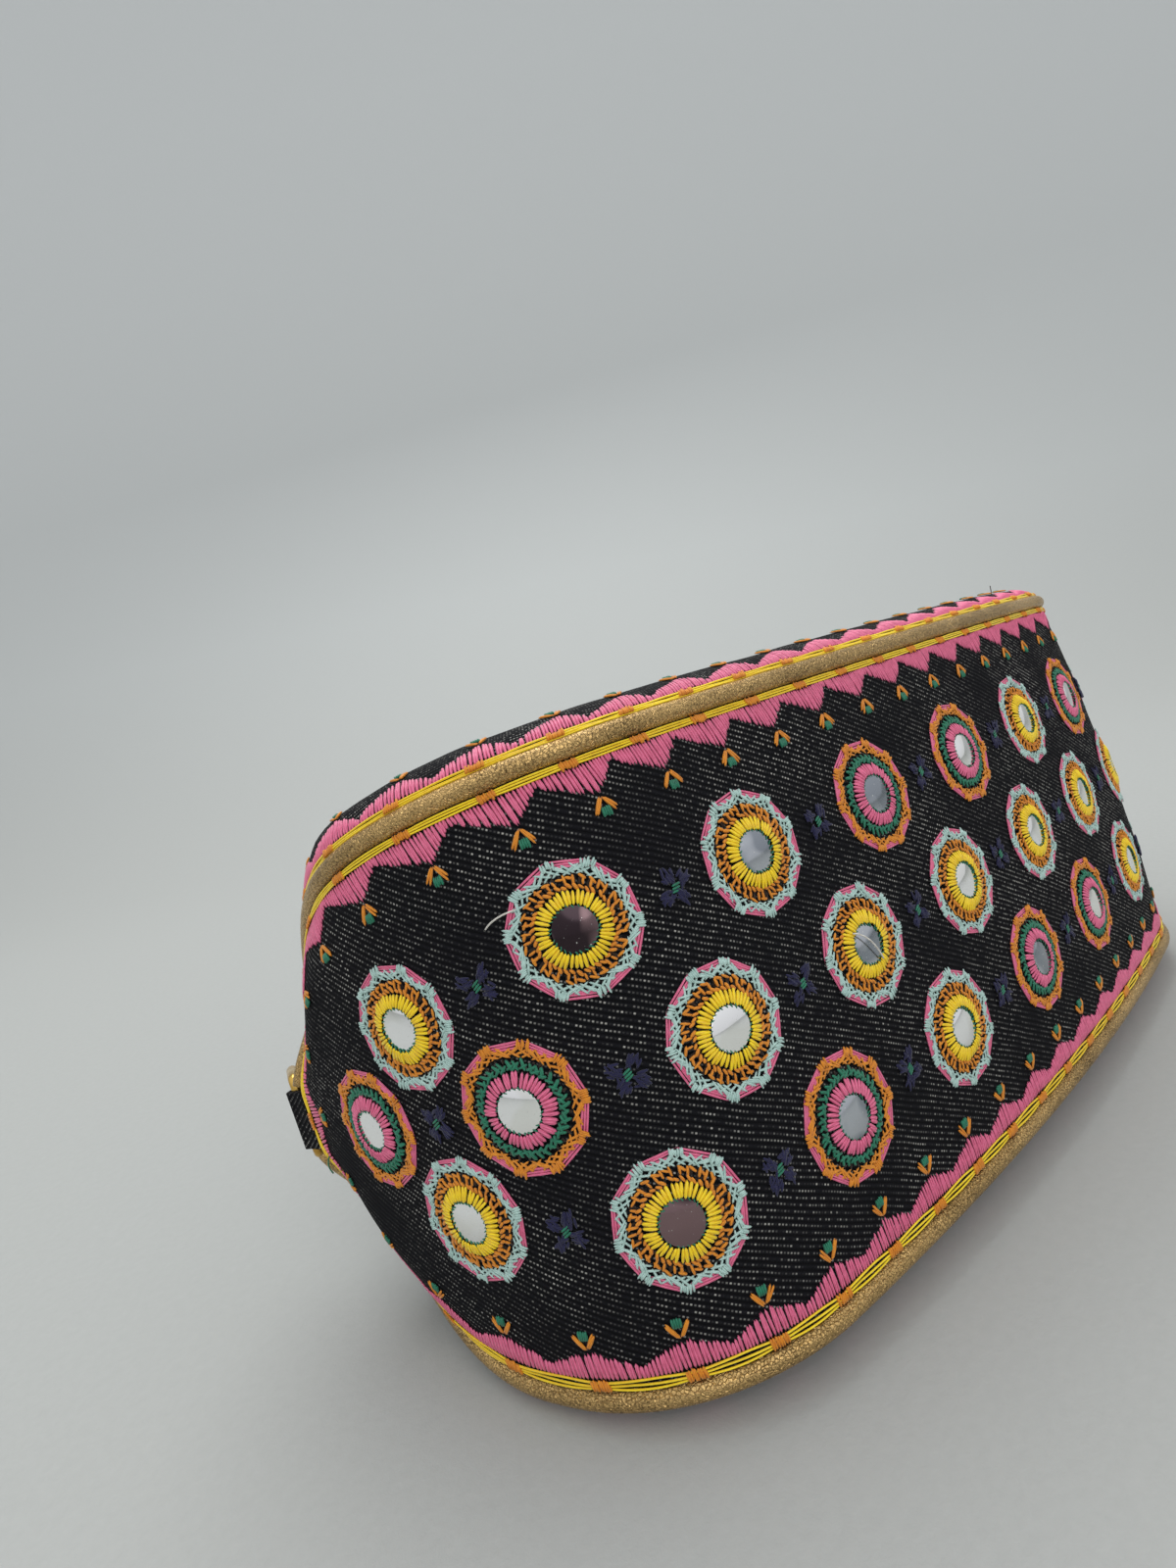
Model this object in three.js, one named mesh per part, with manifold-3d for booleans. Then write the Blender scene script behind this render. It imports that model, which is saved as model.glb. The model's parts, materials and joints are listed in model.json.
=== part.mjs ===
import * as THREE from 'three';
import { mergeVertices } from 'three/addons/utils/BufferGeometryUtils.js';
import Module from 'manifold-3d';

// A small denim bag with mirror embroidery, lying on its back.
// One long gusset forms the base and both ends. A front and a back panel meet over it at a mouth,
// and a flap closes the mouth. In the bag's own frame x runs along its length, y from the base to
// the mouth, and z from the back panel to the front panel. Sizes are in millimetres and degrees.

const wasm = await Module();
wasm.setup();

// Gusset: its middle line is a shallow base arc, a corner arc and an end arc on each side
const gussetHalfLength = 206;
const gussetHalfWidth = 54.9;
const baseRadius = 730;
const baseHalfLength = 88.6;
const cornerRadius = 47.5;
const cornerTurn = 66.4;
const endRadius = 139.6;
const gussetCrown = 2.5;
const tipSquareness = 6.5;
const cornerCurl = 8;
const cornerCurlWidth = 18;
const cornerCurlStart = 150;
const cornerCurlFull = 200;
const cornerCurlInner = 5;
const cornerCurlOuter = 24;
const clothThickness = 2.2;

// Front and back panels
const mouthHeight = 107;
const mouthHalfWidth = 7;
const mouthEndRise = 3;
const mouthEndInset = 6;
const panelBulge = 8;
const frontBulgeRise = 0.45;
const backBulgeRise = 0.62;
const panelFullness = 4.5;
const shoulderSharpness = 0.8;

// Lying pose: how far the base leans back, and how far the seam of the base stands over the floor
const leanAngle = 12;
const seamOverFloor = 11;

// Seams and trims
const pipingRadius = 2;
const pipingEndGap = 1.2;
const panelBorderReach = 0.9;
const seamClearance = 0.4;
const layerClearance = 0.35;
const cordInset = 3.9;
const cordRadius = 0.7;
const zigzagInset = 5.2;
const zigzagValley = 1.6;
const zigzagPeak = 4.2;
const zigzagPitch = 14.4;
const zigzagHeight = 0.8;

// Mirror medallions
const medallionRadius = 12;
const medallionColumns = 10;
const medallionEndMargin = 33.1;
const medallionShift = 2;
const medallionHeight = 1.7;
const stitchRidgeRadius = 6.4;
const endMedallionGap = 2.4;
const borderClearance = 7.9;
const mirrorRadius = 4;
const mirrorThickness = 0.9;
const mirrorClearance = 0.3;

// Flap and its magnetic snap
const flapHalfLength = 160;
const flapReach = 0.5;
const flapCornerRise = 0.16;
const flapLift = 0.9;
const flapArchHeight = 3;
const flapArchSteps = 5.5;
const flapTopRise = 0.99;
const snapRadius = 6.5;
const snapThickness = 1.2;
const snapHeight = 0.64;

// End tabs and rings
const tabWidth = 13;
const tabWall = 1.65;
const tabRootHalf = 1.54;
const ringBarRadius = 1.3;
const ringInnerWidth = 14.8;
const ringInnerLength = 12;
const ringCornerRadius = 1.7;
const ringReach = 4.4;
const ringRunningGap = 0.45;
const ringRestTurn = 20;

// Mesh density
const sectionSides = 6;
const medallionSides = 10;
const flapFaceSteps = 6;
const flapColumns = 16;
const pipingSteps = 48;
const pipingColumns = 64;
const gussetCordSteps = 96;
const panelCordSteps = 53;
const trimEndSteps = 3;

const denim = { color: 0x1c1c20, roughness: 0.95, metalness: 0 };
const goldLeather = { color: 0xa8834a, roughness: 0.45, metalness: 0.5 };
const pinkThread = { color: 0xd8608e, roughness: 0.7, metalness: 0 };
const yellowThread = { color: 0xe3b51d, roughness: 0.7, metalness: 0 };
const mirrorGlass = { color: 0xdfe4e6, roughness: 0.04, metalness: 1 };
const brass = { color: 0xc79a3e, roughness: 0.25, metalness: 1 };
const steel = { color: 0xb9bcc0, roughness: 0.3, metalness: 1 };

const radians = THREE.MathUtils.degToRad;
const bag = new THREE.Group();
bag.rotation.x = -radians(leanAngle);

function addPiece(name, geometry, finish) {
  const mesh = new THREE.Mesh(geometry, new THREE.MeshStandardMaterial(finish));
  mesh.name = name;
  bag.add(mesh);
  return mesh;
}

// The gusset's middle line, by distance from the middle of the base
const pathArcs = [
  { radius: baseRadius, length: baseHalfLength },
  { radius: cornerRadius, length: cornerRadius * radians(cornerTurn) },
  { radius: endRadius, length: Infinity },
];

function pathAt(run) {
  let angle = 0;
  let x = 0;
  let y = 0;
  let left = Math.abs(run);
  for (const arc of pathArcs) {
    const step = Math.min(left, arc.length);
    const next = angle + step / arc.radius;
    x += arc.radius * (Math.sin(next) - Math.sin(angle));
    y += arc.radius * (Math.cos(angle) - Math.cos(next));
    angle = next;
    left -= step;
  }
  const side = run < 0 ? -1 : 1;
  return { x: side * x, y, angle: side * angle };
}

// Near the four corners of its outline the gusset curls in towards the seam
function cornerDrop(run, across) {
  const runShare = Math.abs(run / gussetHalfLength);
  const filled = runShare ** tipSquareness + (across / gussetHalfWidth) ** 2;
  const alongSlope = (tipSquareness * runShare ** (tipSquareness - 1)) / gussetHalfLength;
  const acrossSlope = (2 * Math.abs(across)) / gussetHalfWidth ** 2;
  const inset = Math.max(0, (1 - filled) / Math.hypot(alongSlope, acrossSlope));
  const nearEnd = THREE.MathUtils.smoothstep(Math.abs(run), cornerCurlStart, cornerCurlFull);
  const nearSide = THREE.MathUtils.smoothstep(Math.abs(across), cornerCurlInner, cornerCurlOuter);
  return cornerCurl * nearEnd * nearSide * Math.max(0, 1 - inset / cornerCurlWidth) ** 2;
}

// A point over the gusset's outer surface: run along it, across it, and lift off it
function gussetPoint(run, across, lift = 0) {
  const { x, y, angle } = pathAt(run);
  const crown = gussetCrown * Math.abs(across / gussetHalfWidth) ** 3;
  const out = lift - crown - cornerDrop(run, across);
  return new THREE.Vector3(x + out * Math.sin(angle), y - out * Math.cos(angle), across);
}

// The gusset's outline is a stadium whose tips are rounded; turn goes round it, 0 to 2 pi
function outlinePoint(turn, inset = 0) {
  const swing = Math.abs(Math.sin(turn)) ** (2 / tipSquareness);
  return {
    run: Math.sign(Math.sin(turn)) * swing * (gussetHalfLength - inset),
    across: Math.cos(turn) * (gussetHalfWidth - inset),
  };
}

// Turns that give even steps along the flat part and closer steps round each tip
function outlineTurns(evenSteps, tipCosines) {
  const firstTip = tipCosines[0];
  const evenReach = Math.sqrt(1 - firstTip ** 2) ** (2 / tipSquareness);
  const turns = tipCosines.slice(1).reverse().map((cosine) => -Math.acos(cosine));
  for (let i = 0; i <= evenSteps; i += 1) {
    const share = (2 * i) / evenSteps - 1;
    const sine = Math.abs(share * evenReach) ** (tipSquareness / 2);
    turns.push(Math.sign(share) * Math.asin(sine));
  }
  tipCosines.slice(1).forEach((cosine) => turns.push(Math.acos(cosine)));
  return turns;
}

// Closed body from triangles that index a list of points
function bodyFrom(points, triangles) {
  const geometry = new THREE.BufferGeometry();
  geometry.setAttribute('position', new THREE.Float32BufferAttribute(points.flatMap((p) => p.toArray()), 3));
  geometry.setIndex(triangles);
  geometry.computeVertexNormals();
  return geometry;
}

// Closed cloth wall between an outer and an inner grid of points, columns by rows
function clothWall(outer, inner) {
  const columns = outer.length;
  const rows = outer[0].length;
  const points = [...outer.flat(), ...inner.flat()];
  const at = (side, i, j) => side * columns * rows + i * rows + j;
  const triangles = [];
  const quad = (a, b, c, d) => triangles.push(a, b, c, a, c, d);
  for (let i = 0; i + 1 < columns; i += 1) {
    for (let j = 0; j + 1 < rows; j += 1) {
      quad(at(0, i, j), at(0, i + 1, j), at(0, i + 1, j + 1), at(0, i, j + 1));
      quad(at(1, i, j), at(1, i, j + 1), at(1, i + 1, j + 1), at(1, i + 1, j));
    }
    quad(at(0, i, 0), at(1, i, 0), at(1, i + 1, 0), at(0, i + 1, 0));
    quad(at(0, i, rows - 1), at(0, i + 1, rows - 1), at(1, i + 1, rows - 1), at(1, i, rows - 1));
  }
  for (let j = 0; j + 1 < rows; j += 1) {
    quad(at(0, 0, j), at(0, 0, j + 1), at(1, 0, j + 1), at(1, 0, j));
    quad(at(0, columns - 1, j), at(1, columns - 1, j), at(1, columns - 1, j + 1), at(0, columns - 1, j + 1));
  }
  return bodyFrom(points, triangles);
}

// Closed strip through a row of equal sections; a ring joins its last section to its first
function sectionStrip(sections, ring) {
  const count = sections.length;
  const size = sections[0].length;
  const triangles = [];
  const last = ring ? count : count - 1;
  for (let i = 0; i < last; i += 1) {
    const next = (i + 1) % count;
    for (let j = 0; j < size; j += 1) {
      const k = (j + 1) % size;
      triangles.push(i * size + j, i * size + k, next * size + k);
      triangles.push(i * size + j, next * size + k, next * size + j);
    }
  }
  if (!ring) {
    for (let j = 1; j + 1 < size; j += 1) {
      triangles.push(0, j + 1, j);
      triangles.push(last * size, last * size + j, last * size + j + 1);
    }
  }
  return bodyFrom(sections.flat(), triangles);
}

function toSolid(geometry) {
  const bare = geometry.clone();
  bare.deleteAttribute('normal');
  bare.deleteAttribute('uv');
  const merged = mergeVertices(bare, 1e-4);
  return new wasm.Manifold(new wasm.Mesh({
    numProp: 3,
    vertProperties: new Float32Array(merged.attributes.position.array),
    triVerts: new Uint32Array(merged.index.array),
  }));
}

function toGeometry(solid) {
  const mesh = solid.getMesh();
  const geometry = new THREE.BufferGeometry();
  geometry.setAttribute('position', new THREE.BufferAttribute(mesh.vertProperties, 3));
  geometry.setIndex(new THREE.BufferAttribute(mesh.triVerts, 1));
  geometry.computeVertexNormals();
  return geometry;
}

// Turns a geometry inside out when its faces point inwards
function facingOut(geometry) {
  const position = geometry.attributes.position;
  const index = geometry.index.array;
  const corner = [new THREE.Vector3(), new THREE.Vector3(), new THREE.Vector3()];
  let volume = 0;
  for (let i = 0; i < index.length; i += 3) {
    corner.forEach((point, k) => point.fromBufferAttribute(position, index[i + k]));
    volume += corner[0].dot(corner[1].clone().cross(corner[2]));
  }
  if (volume < 0) {
    geometry.setIndex(Array.from(index).reverse());
    geometry.computeVertexNormals();
  }
  return geometry;
}

function roundSection(radius) {
  return new THREE.Shape(new THREE.EllipseCurve(0, 0, radius, radius).getPoints(sectionSides).slice(0, -1));
}

function tubeAlong(points, radius, steps) {
  const extrudePath = new THREE.CatmullRomCurve3(points);
  const tube = new THREE.ExtrudeGeometry(roundSection(radius), { steps, extrudePath });
  tube.deleteAttribute('normal');
  tube.deleteAttribute('uv');
  return facingOut(mergeVertices(tube, 1e-4));
}

const seamGap = pipingRadius + seamClearance;
const tipCosines = [0.86, 0.72, 0.56, 0.4, 0.26, (tabWidth / 2 + seamClearance) / gussetHalfWidth];
const wallTurns = outlineTurns(18, tipCosines);

// Gusset wall with the raised embroidery of every medallion worked on it
const pitch = (2 * (gussetHalfLength - medallionEndMargin)) / (medallionColumns - 1);
const borderDepth = zigzagInset + zigzagPeak;
const rowSpacing = gussetHalfWidth - borderDepth - borderClearance - medallionRadius;
const endRowSpacing = Math.sqrt((2 * medallionRadius + endMedallionGap) ** 2 - (pitch / 2) ** 2);

function medallionPlaces() {
  const places = [];
  const middle = (medallionColumns - 1) / 2;
  for (let i = 0; i < medallionColumns; i += 1) {
    places.push({ name: `middle_${i}`, run: (i - middle) * pitch + medallionShift, across: 0 });
  }
  for (let i = 0; i < medallionColumns - 1; i += 1) {
    const atEnd = i === 0 || i === medallionColumns - 2;
    const across = atEnd ? endRowSpacing : rowSpacing;
    const run = (i + 0.5 - middle) * pitch + medallionShift;
    places.push({ name: `front_${i}`, run, across });
    places.push({ name: `back_${i}`, run, across: -across });
  }
  return places;
}

function medallionRelief({ run, across }) {
  const seat = mirrorRadius + mirrorClearance;
  const profile = [
    [seat, -clothThickness / 2],
    [medallionRadius, -clothThickness / 2],
    [medallionRadius, medallionHeight / 3],
    [stitchRidgeRadius, medallionHeight],
    [seat, mirrorThickness + layerClearance],
  ];
  const sections = [];
  for (let i = 0; i < medallionSides; i += 1) {
    const angle = (2 * Math.PI * i) / medallionSides;
    sections.push(profile.map(([radius, lift]) => (
      gussetPoint(run + radius * Math.cos(angle), across + radius * Math.sin(angle), lift)
    )));
  }
  return facingOut(sectionStrip(sections, true));
}

function gussetWall() {
  const shares = [-1, -0.87, -0.72, -0.36, 0, 0.36, 0.72, 0.87, 1];
  const grid = (lift) => wallTurns.map((turn) => {
    const { run, across } = outlinePoint(turn, seamGap);
    return shares.map((share) => gussetPoint(run, share * across, lift));
  });
  return facingOut(clothWall(grid(0), grid(-clothThickness)));
}

let gusset = toSolid(gussetWall());
for (const place of medallionPlaces()) {
  gusset = gusset.add(toSolid(medallionRelief(place)));
}
addPiece('gusset', toGeometry(gusset), denim);

for (const place of medallionPlaces()) {
  const disc = new THREE.CylinderGeometry(mirrorRadius, mirrorRadius, mirrorThickness, medallionSides);
  const mirror = addPiece(`mirror_${place.name}`, disc, mirrorGlass);
  const { angle } = pathAt(place.run);
  mirror.position.copy(gussetPoint(place.run, place.across, layerClearance + mirrorThickness / 2));
  mirror.rotation.z = Math.PI + angle;
}

// A point of the front panel's outer surface: turn picks a ruling from the seam (rise 0)
// to the mouth (rise 1). side is 1 for the front and -1 for the back.
const tip = pathAt(gussetHalfLength);
const mouthHalfLength = tip.x - mouthEndInset;
const mouthEndHeight = tip.y + mouthEndRise;
const lean = radians(leanAngle);
const floorLevel = -gussetHalfWidth * Math.cos(lean) - seamOverFloor;

function panelPoint(turn, rise, side) {
  const { run, across } = outlinePoint(turn);
  const seam = gussetPoint(run, across);
  const share = run / gussetHalfLength;
  const mouthX = mouthHalfLength * share;
  const mouthY = mouthEndHeight + (mouthHeight - mouthEndHeight) * (1 - share ** 2);
  const x = THREE.MathUtils.lerp(seam.x, mouthX, rise);
  const y = THREE.MathUtils.lerp(seam.y, mouthY, rise);
  const length = Math.hypot(seam.x - mouthX, seam.y - mouthY);
  const full = (1 - rise ** panelFullness) ** shoulderSharpness;
  const bulgeRise = side < 0 ? backBulgeRise : frontBulgeRise;
  const bulge = panelBulge * Math.min(1, length / (mouthHeight / 2)) * Math.sin(Math.PI * rise ** bulgeRise);
  const z = mouthHalfWidth + (across - mouthHalfWidth) * full + bulge;
  return new THREE.Vector3(x, y, side * z);
}

function panelNormal(turn, rise, side) {
  const step = 0.004;
  const low = Math.max(rise - step, 0.001);
  const high = Math.min(rise + step, 1);
  const alongRise = panelPoint(turn, high, side).sub(panelPoint(turn, low, side));
  const alongSeam = panelPoint(turn + step, rise, side).sub(panelPoint(turn - step, rise, side));
  const normal = alongSeam.cross(alongRise).normalize();
  return normal.z * side < 0 && rise > 0.1 ? normal.negate() : normal.multiplyScalar(side);
}

// Cloth that would sink below the floor lies flat on it
function restOnFloor(point, level) {
  const height = point.z * Math.cos(lean) - point.y * Math.sin(lean);
  const lack = Math.max(0, level - height);
  return point.add(new THREE.Vector3(0, -Math.sin(lean), Math.cos(lean)).multiplyScalar(lack));
}

// The rise at which the cloth has run a given distance from the seam
function riseAfter(turn, distance, side) {
  const step = 0.002;
  let rise = 0;
  let travelled = 0;
  let last = panelPoint(turn, 0, side);
  while (travelled < distance && rise < 1) {
    rise += step;
    const point = panelPoint(turn, rise, side);
    travelled += point.distanceTo(last);
    last = point;
  }
  return rise;
}

// On the back panel the border beside the seam rests on the floor and holds the cloth up a little
const trimDepth = layerClearance + 2 * cordRadius;

function panelSurface(turn, rise, side, lift) {
  const point = panelPoint(turn, rise, side).addScaledVector(panelNormal(turn, rise, side), lift);
  if (side > 0) return point;
  const borderRise = riseAfter(turn, borderDepth, side);
  const held = 1 - THREE.MathUtils.smoothstep(rise, borderRise, 2 * borderRise);
  return restOnFloor(point, floorLevel + (trimDepth + layerClearance) * held - lift);
}

const panelShares = [0, 0.03, 0.08, 0.18, 0.33, 0.52, 0.68, 0.82, 0.93, 1];

function panelWall(side) {
  const grid = (lift) => wallTurns.map((turn) => {
    const edge = riseAfter(turn, seamGap + 2 * layerClearance, side);
    return panelShares.map((share) => panelSurface(turn, THREE.MathUtils.lerp(edge, 1, share), side, lift));
  });
  return facingOut(clothWall(grid(0), grid(-clothThickness)));
}

// The snap's place on the front panel, and discs along the panel's normal there
const snapPoint = panelPoint(0, snapHeight, 1);
const snapNormal = panelNormal(0, snapHeight, 1);

function snapDisc(radius, low, high) {
  const disc = new THREE.CylinderGeometry(radius, radius, high - low, 2 * medallionSides);
  disc.applyQuaternion(new THREE.Quaternion().setFromUnitVectors(new THREE.Vector3(0, 1, 0), snapNormal));
  const middle = snapPoint.clone().addScaledVector(snapNormal, (low + high) / 2);
  return disc.translate(middle.x, middle.y, middle.z);
}

const pocketRadius = snapRadius + layerClearance;
const pocketDepth = snapThickness + layerClearance;
const frontPocket = snapDisc(pocketRadius, -pocketDepth, clothThickness);
addPiece('front_panel', toGeometry(toSolid(panelWall(1)).subtract(toSolid(frontPocket))), denim);
addPiece('back_panel', panelWall(-1), denim);
addPiece('snap_base', snapDisc(snapRadius, -snapThickness, 0), steel);

// Flap: from the back panel's mouth edge, over the mouth and down the front panel
function flapColumn(turn, lift) {
  const back = panelPoint(turn, 1, -1);
  const front = panelSurface(turn, 1, 1, flapLift + lift);
  const backZ = back.z + clothThickness - lift;
  const middleZ = (front.z + backZ) / 2;
  const halfWidth = (front.z - backZ) / 2;
  const column = [];
  for (let i = 0; i < Math.floor(flapArchSteps); i += 1) {
    const angle = Math.PI * (1 - i / flapArchSteps);
    const y = back.y + layerClearance + (flapArchHeight + lift) * Math.sin(angle);
    column.push(new THREE.Vector3(back.x, y, middleZ + halfWidth * Math.cos(angle)));
  }
  const along = Math.abs(outlinePoint(turn).run) / flapHalfLength;
  const lowest = flapReach + flapCornerRise * along ** 6;
  for (let i = 0; i <= flapFaceSteps; i += 1) {
    const rise = THREE.MathUtils.lerp(flapTopRise, lowest, i / flapFaceSteps);
    column.push(panelSurface(turn, rise, 1, flapLift + lift));
  }
  return column;
}

function flapWall() {
  const flapTurns = [];
  for (let i = 0; i <= flapColumns; i += 1) {
    const share = ((2 * i) / flapColumns - 1) * (flapHalfLength / gussetHalfLength);
    flapTurns.push(Math.sign(share) * Math.asin(Math.abs(share) ** (tipSquareness / 2)));
  }
  const outer = flapTurns.map((turn) => flapColumn(turn, clothThickness));
  const inner = flapTurns.map((turn) => flapColumn(turn, 0));
  return facingOut(clothWall(outer, inner));
}

const flapPocket = snapDisc(pocketRadius, -clothThickness, flapLift + pocketDepth);
addPiece('flap', toGeometry(toSolid(flapWall()).subtract(toSolid(flapPocket))), denim);
addPiece('snap_cap', snapDisc(snapRadius, flapLift, flapLift + snapThickness), steel);

// Piping in the two long seams, from one end tab to the other
function pipingPoints(side) {
  const reach = Math.acos((tabWidth / 2 + pipingEndGap) / gussetHalfWidth);
  const points = [];
  for (const turn of outlineTurns(pipingSteps, [0.9, 0.8, 0.68, 0.54, 0.4, 0.28, Math.cos(reach)])) {
    const { run, across } = outlinePoint(turn);
    points.push(gussetPoint(run, side * across));
  }
  return points;
}

addPiece('piping_front', tubeAlong(pipingPoints(1), pipingRadius, pipingColumns), goldLeather);
addPiece('piping_back', tubeAlong(pipingPoints(-1), pipingRadius, pipingColumns), goldLeather);

// The gusset's outline as a flat curve, read by share of its length
const outlineCurve = (() => {
  const points = [];
  for (let i = 0; i <= 360; i += 1) {
    const { run, across } = outlinePoint((i * Math.PI) / 180);
    points.push(new THREE.Vector2(run, across));
  }
  const curve = new THREE.SplineCurve(points);
  curve.arcLengthDivisions = 1440;
  return curve;
})();

// A point over the gusset at an inset from its seam
function borderPoint(share, inset, lift) {
  const place = outlineCurve.getPointAt(share);
  const tangent = outlineCurve.getTangentAt(share);
  const inward = new THREE.Vector2(tangent.y, -tangent.x);
  if (inward.dot(place) > 0) inward.negate();
  place.addScaledVector(inward, inset);
  return gussetPoint(place.x, place.y, lift);
}

function zigzagSection(place, inset, width) {
  return [
    place(inset, layerClearance),
    place(inset + width / 2, layerClearance + zigzagHeight),
    place(inset + width, layerClearance),
  ];
}

function gussetZigzag() {
  const teeth = Math.round(outlineCurve.getLength() / zigzagPitch);
  const sections = [];
  const steps = 4 * teeth;
  for (let i = 0; i < steps; i += 1) {
    const crest = 1 - Math.abs((i % 4) / 2 - 1);
    const width = THREE.MathUtils.lerp(zigzagValley, zigzagPeak, crest);
    const place = (inset, lift) => borderPoint(i / steps, inset, lift);
    sections.push(zigzagSection(place, zigzagInset, width));
  }
  return facingOut(sectionStrip(sections, true));
}

function gussetCord() {
  const section = (share) => [
    borderPoint(share, cordInset - cordRadius, layerClearance + cordRadius),
    borderPoint(share, cordInset, layerClearance),
    borderPoint(share, cordInset + cordRadius, layerClearance + cordRadius),
    borderPoint(share, cordInset, layerClearance + 2 * cordRadius),
  ];
  const sections = Array.from({ length: gussetCordSteps }, (_, i) => section(i / gussetCordSteps));
  return facingOut(sectionStrip(sections, true));
}

addPiece('zigzag_gusset', gussetZigzag(), pinkThread);
addPiece('cord_gusset', gussetCord(), yellowThread);

// The same border on each panel follows its seam, measured over the bulging cloth
function seamTurns(count) {
  const reach = gussetHalfLength - 2 * pipingRadius;
  const turns = [];
  for (let i = 0; i < count; i += 1) {
    const share = ((2 * i) / (count - 1) - 1) * (reach / gussetHalfLength);
    turns.push(Math.sign(share) * Math.asin(Math.abs(share) ** (tipSquareness / 2)));
  }
  return turns;
}

function panelPlace(turn, side) {
  return (inset, lift) => panelSurface(turn, riseAfter(turn, inset, side), side, lift);
}

const panelBorderLength = 2 * gussetHalfLength * panelBorderReach;

function panelZigzag(side) {
  const teeth = Math.round(panelBorderLength / zigzagPitch);
  const sections = seamTurns(2 * teeth + 1).slice(trimEndSteps, -trimEndSteps).map((turn, i) => (
    zigzagSection(panelPlace(turn, side), zigzagInset, i % 2 ? zigzagPeak : zigzagValley)
  ));
  return facingOut(sectionStrip(sections, false));
}

function panelCord(side) {
  const sections = seamTurns(panelCordSteps).slice(trimEndSteps, -trimEndSteps).map((turn) => {
    const place = panelPlace(turn, side);
    return [
      place(cordInset - cordRadius, layerClearance + cordRadius),
      place(cordInset, layerClearance),
      place(cordInset + cordRadius, layerClearance + cordRadius),
      place(cordInset, layerClearance + 2 * cordRadius),
    ];
  });
  return facingOut(sectionStrip(sections, false));
}

for (const [name, side] of [['front', 1], ['back', -1]]) {
  addPiece(`zigzag_${name}`, panelZigzag(side), pinkThread);
  addPiece(`cord_${name}`, panelCord(side), yellowThread);
}

// End tab: cloth folded round the ring's bar, with its root on the gusset's tip
const barHole = ringBarRadius + ringRunningGap;
const tabLoop = barHole + tabWall;
const bar = pathAt(gussetHalfLength + ringReach);

function endTab() {
  const root = pathAt(gussetHalfLength - seamGap);
  const outline = new THREE.Shape();
  outline.moveTo(root.x - tabRootHalf, root.y + seamClearance);
  outline.lineTo(root.x + tabRootHalf, root.y + seamClearance);
  outline.lineTo(bar.x + tabLoop, bar.y);
  outline.absarc(bar.x, bar.y, tabLoop, 0, Math.PI, false);
  outline.closePath();
  const hole = new THREE.Path();
  hole.absarc(bar.x, bar.y, barHole, 0, 2 * Math.PI, true);
  outline.holes.push(hole);
  const tab = new THREE.ExtrudeGeometry(outline, { depth: tabWidth, bevelEnabled: false, curveSegments: 8 });
  return tab.translate(0, 0, -tabWidth / 2);
}

// Rectangular ring round the origin of its own hinge: the bar lies on z, the far side at +y
function endRing() {
  const halfWidth = ringInnerWidth / 2 + ringBarRadius;
  const length = ringInnerLength + 2 * ringBarRadius;
  const corners = [[-1, 0], [1, 0], [1, 1], [-1, 1]];
  const steps = 3;
  const sections = [];
  corners.forEach(([side, far], index) => {
    const zCentre = side * (halfWidth - ringCornerRadius);
    const yCentre = far ? length - ringCornerRadius : ringCornerRadius;
    for (let i = 0; i <= steps; i += 1) {
      const angle = Math.PI + (Math.PI / 2) * (index + i / steps);
      const alongZ = Math.cos(angle);
      const alongY = Math.sin(angle);
      const section = [];
      for (let j = 0; j < sectionSides; j += 1) {
        const spin = (2 * Math.PI * j) / sectionSides;
        const reach = ringCornerRadius + ringBarRadius * Math.cos(spin);
        section.push(new THREE.Vector3(
          ringBarRadius * Math.sin(spin),
          yCentre + reach * alongY,
          zCentre + reach * alongZ,
        ));
      }
      sections.push(section);
    }
  });
  return facingOut(sectionStrip(sections, true));
}

for (const [name, side] of [['left', -1], ['right', 1]]) {
  const end = new THREE.Group();
  end.rotation.y = side < 0 ? Math.PI : 0;
  bag.add(end);
  const tab = new THREE.Mesh(endTab(), new THREE.MeshStandardMaterial(denim));
  tab.name = `tab_${name}`;
  end.add(tab);
  const ring = new THREE.Mesh(endRing(), new THREE.MeshStandardMaterial(brass));
  ring.name = `ring_${name}`;
  ring.position.set(bar.x, bar.y, 0);
  ring.rotation.z = radians(ringRestTurn);
  end.add(ring);
}

// The whole bag stands on the floor, over the middle of its own footprint
const whole = new THREE.Group();
whole.add(bag);
whole.updateMatrixWorld(true);
const bounds = new THREE.Box3().setFromObject(whole, true);
const centre = bounds.getCenter(new THREE.Vector3());
bag.position.set(-centre.x, -centre.y, -bounds.min.z);
whole.updateMatrixWorld(true);

export default whole;
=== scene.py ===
import json
import math
import random

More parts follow.
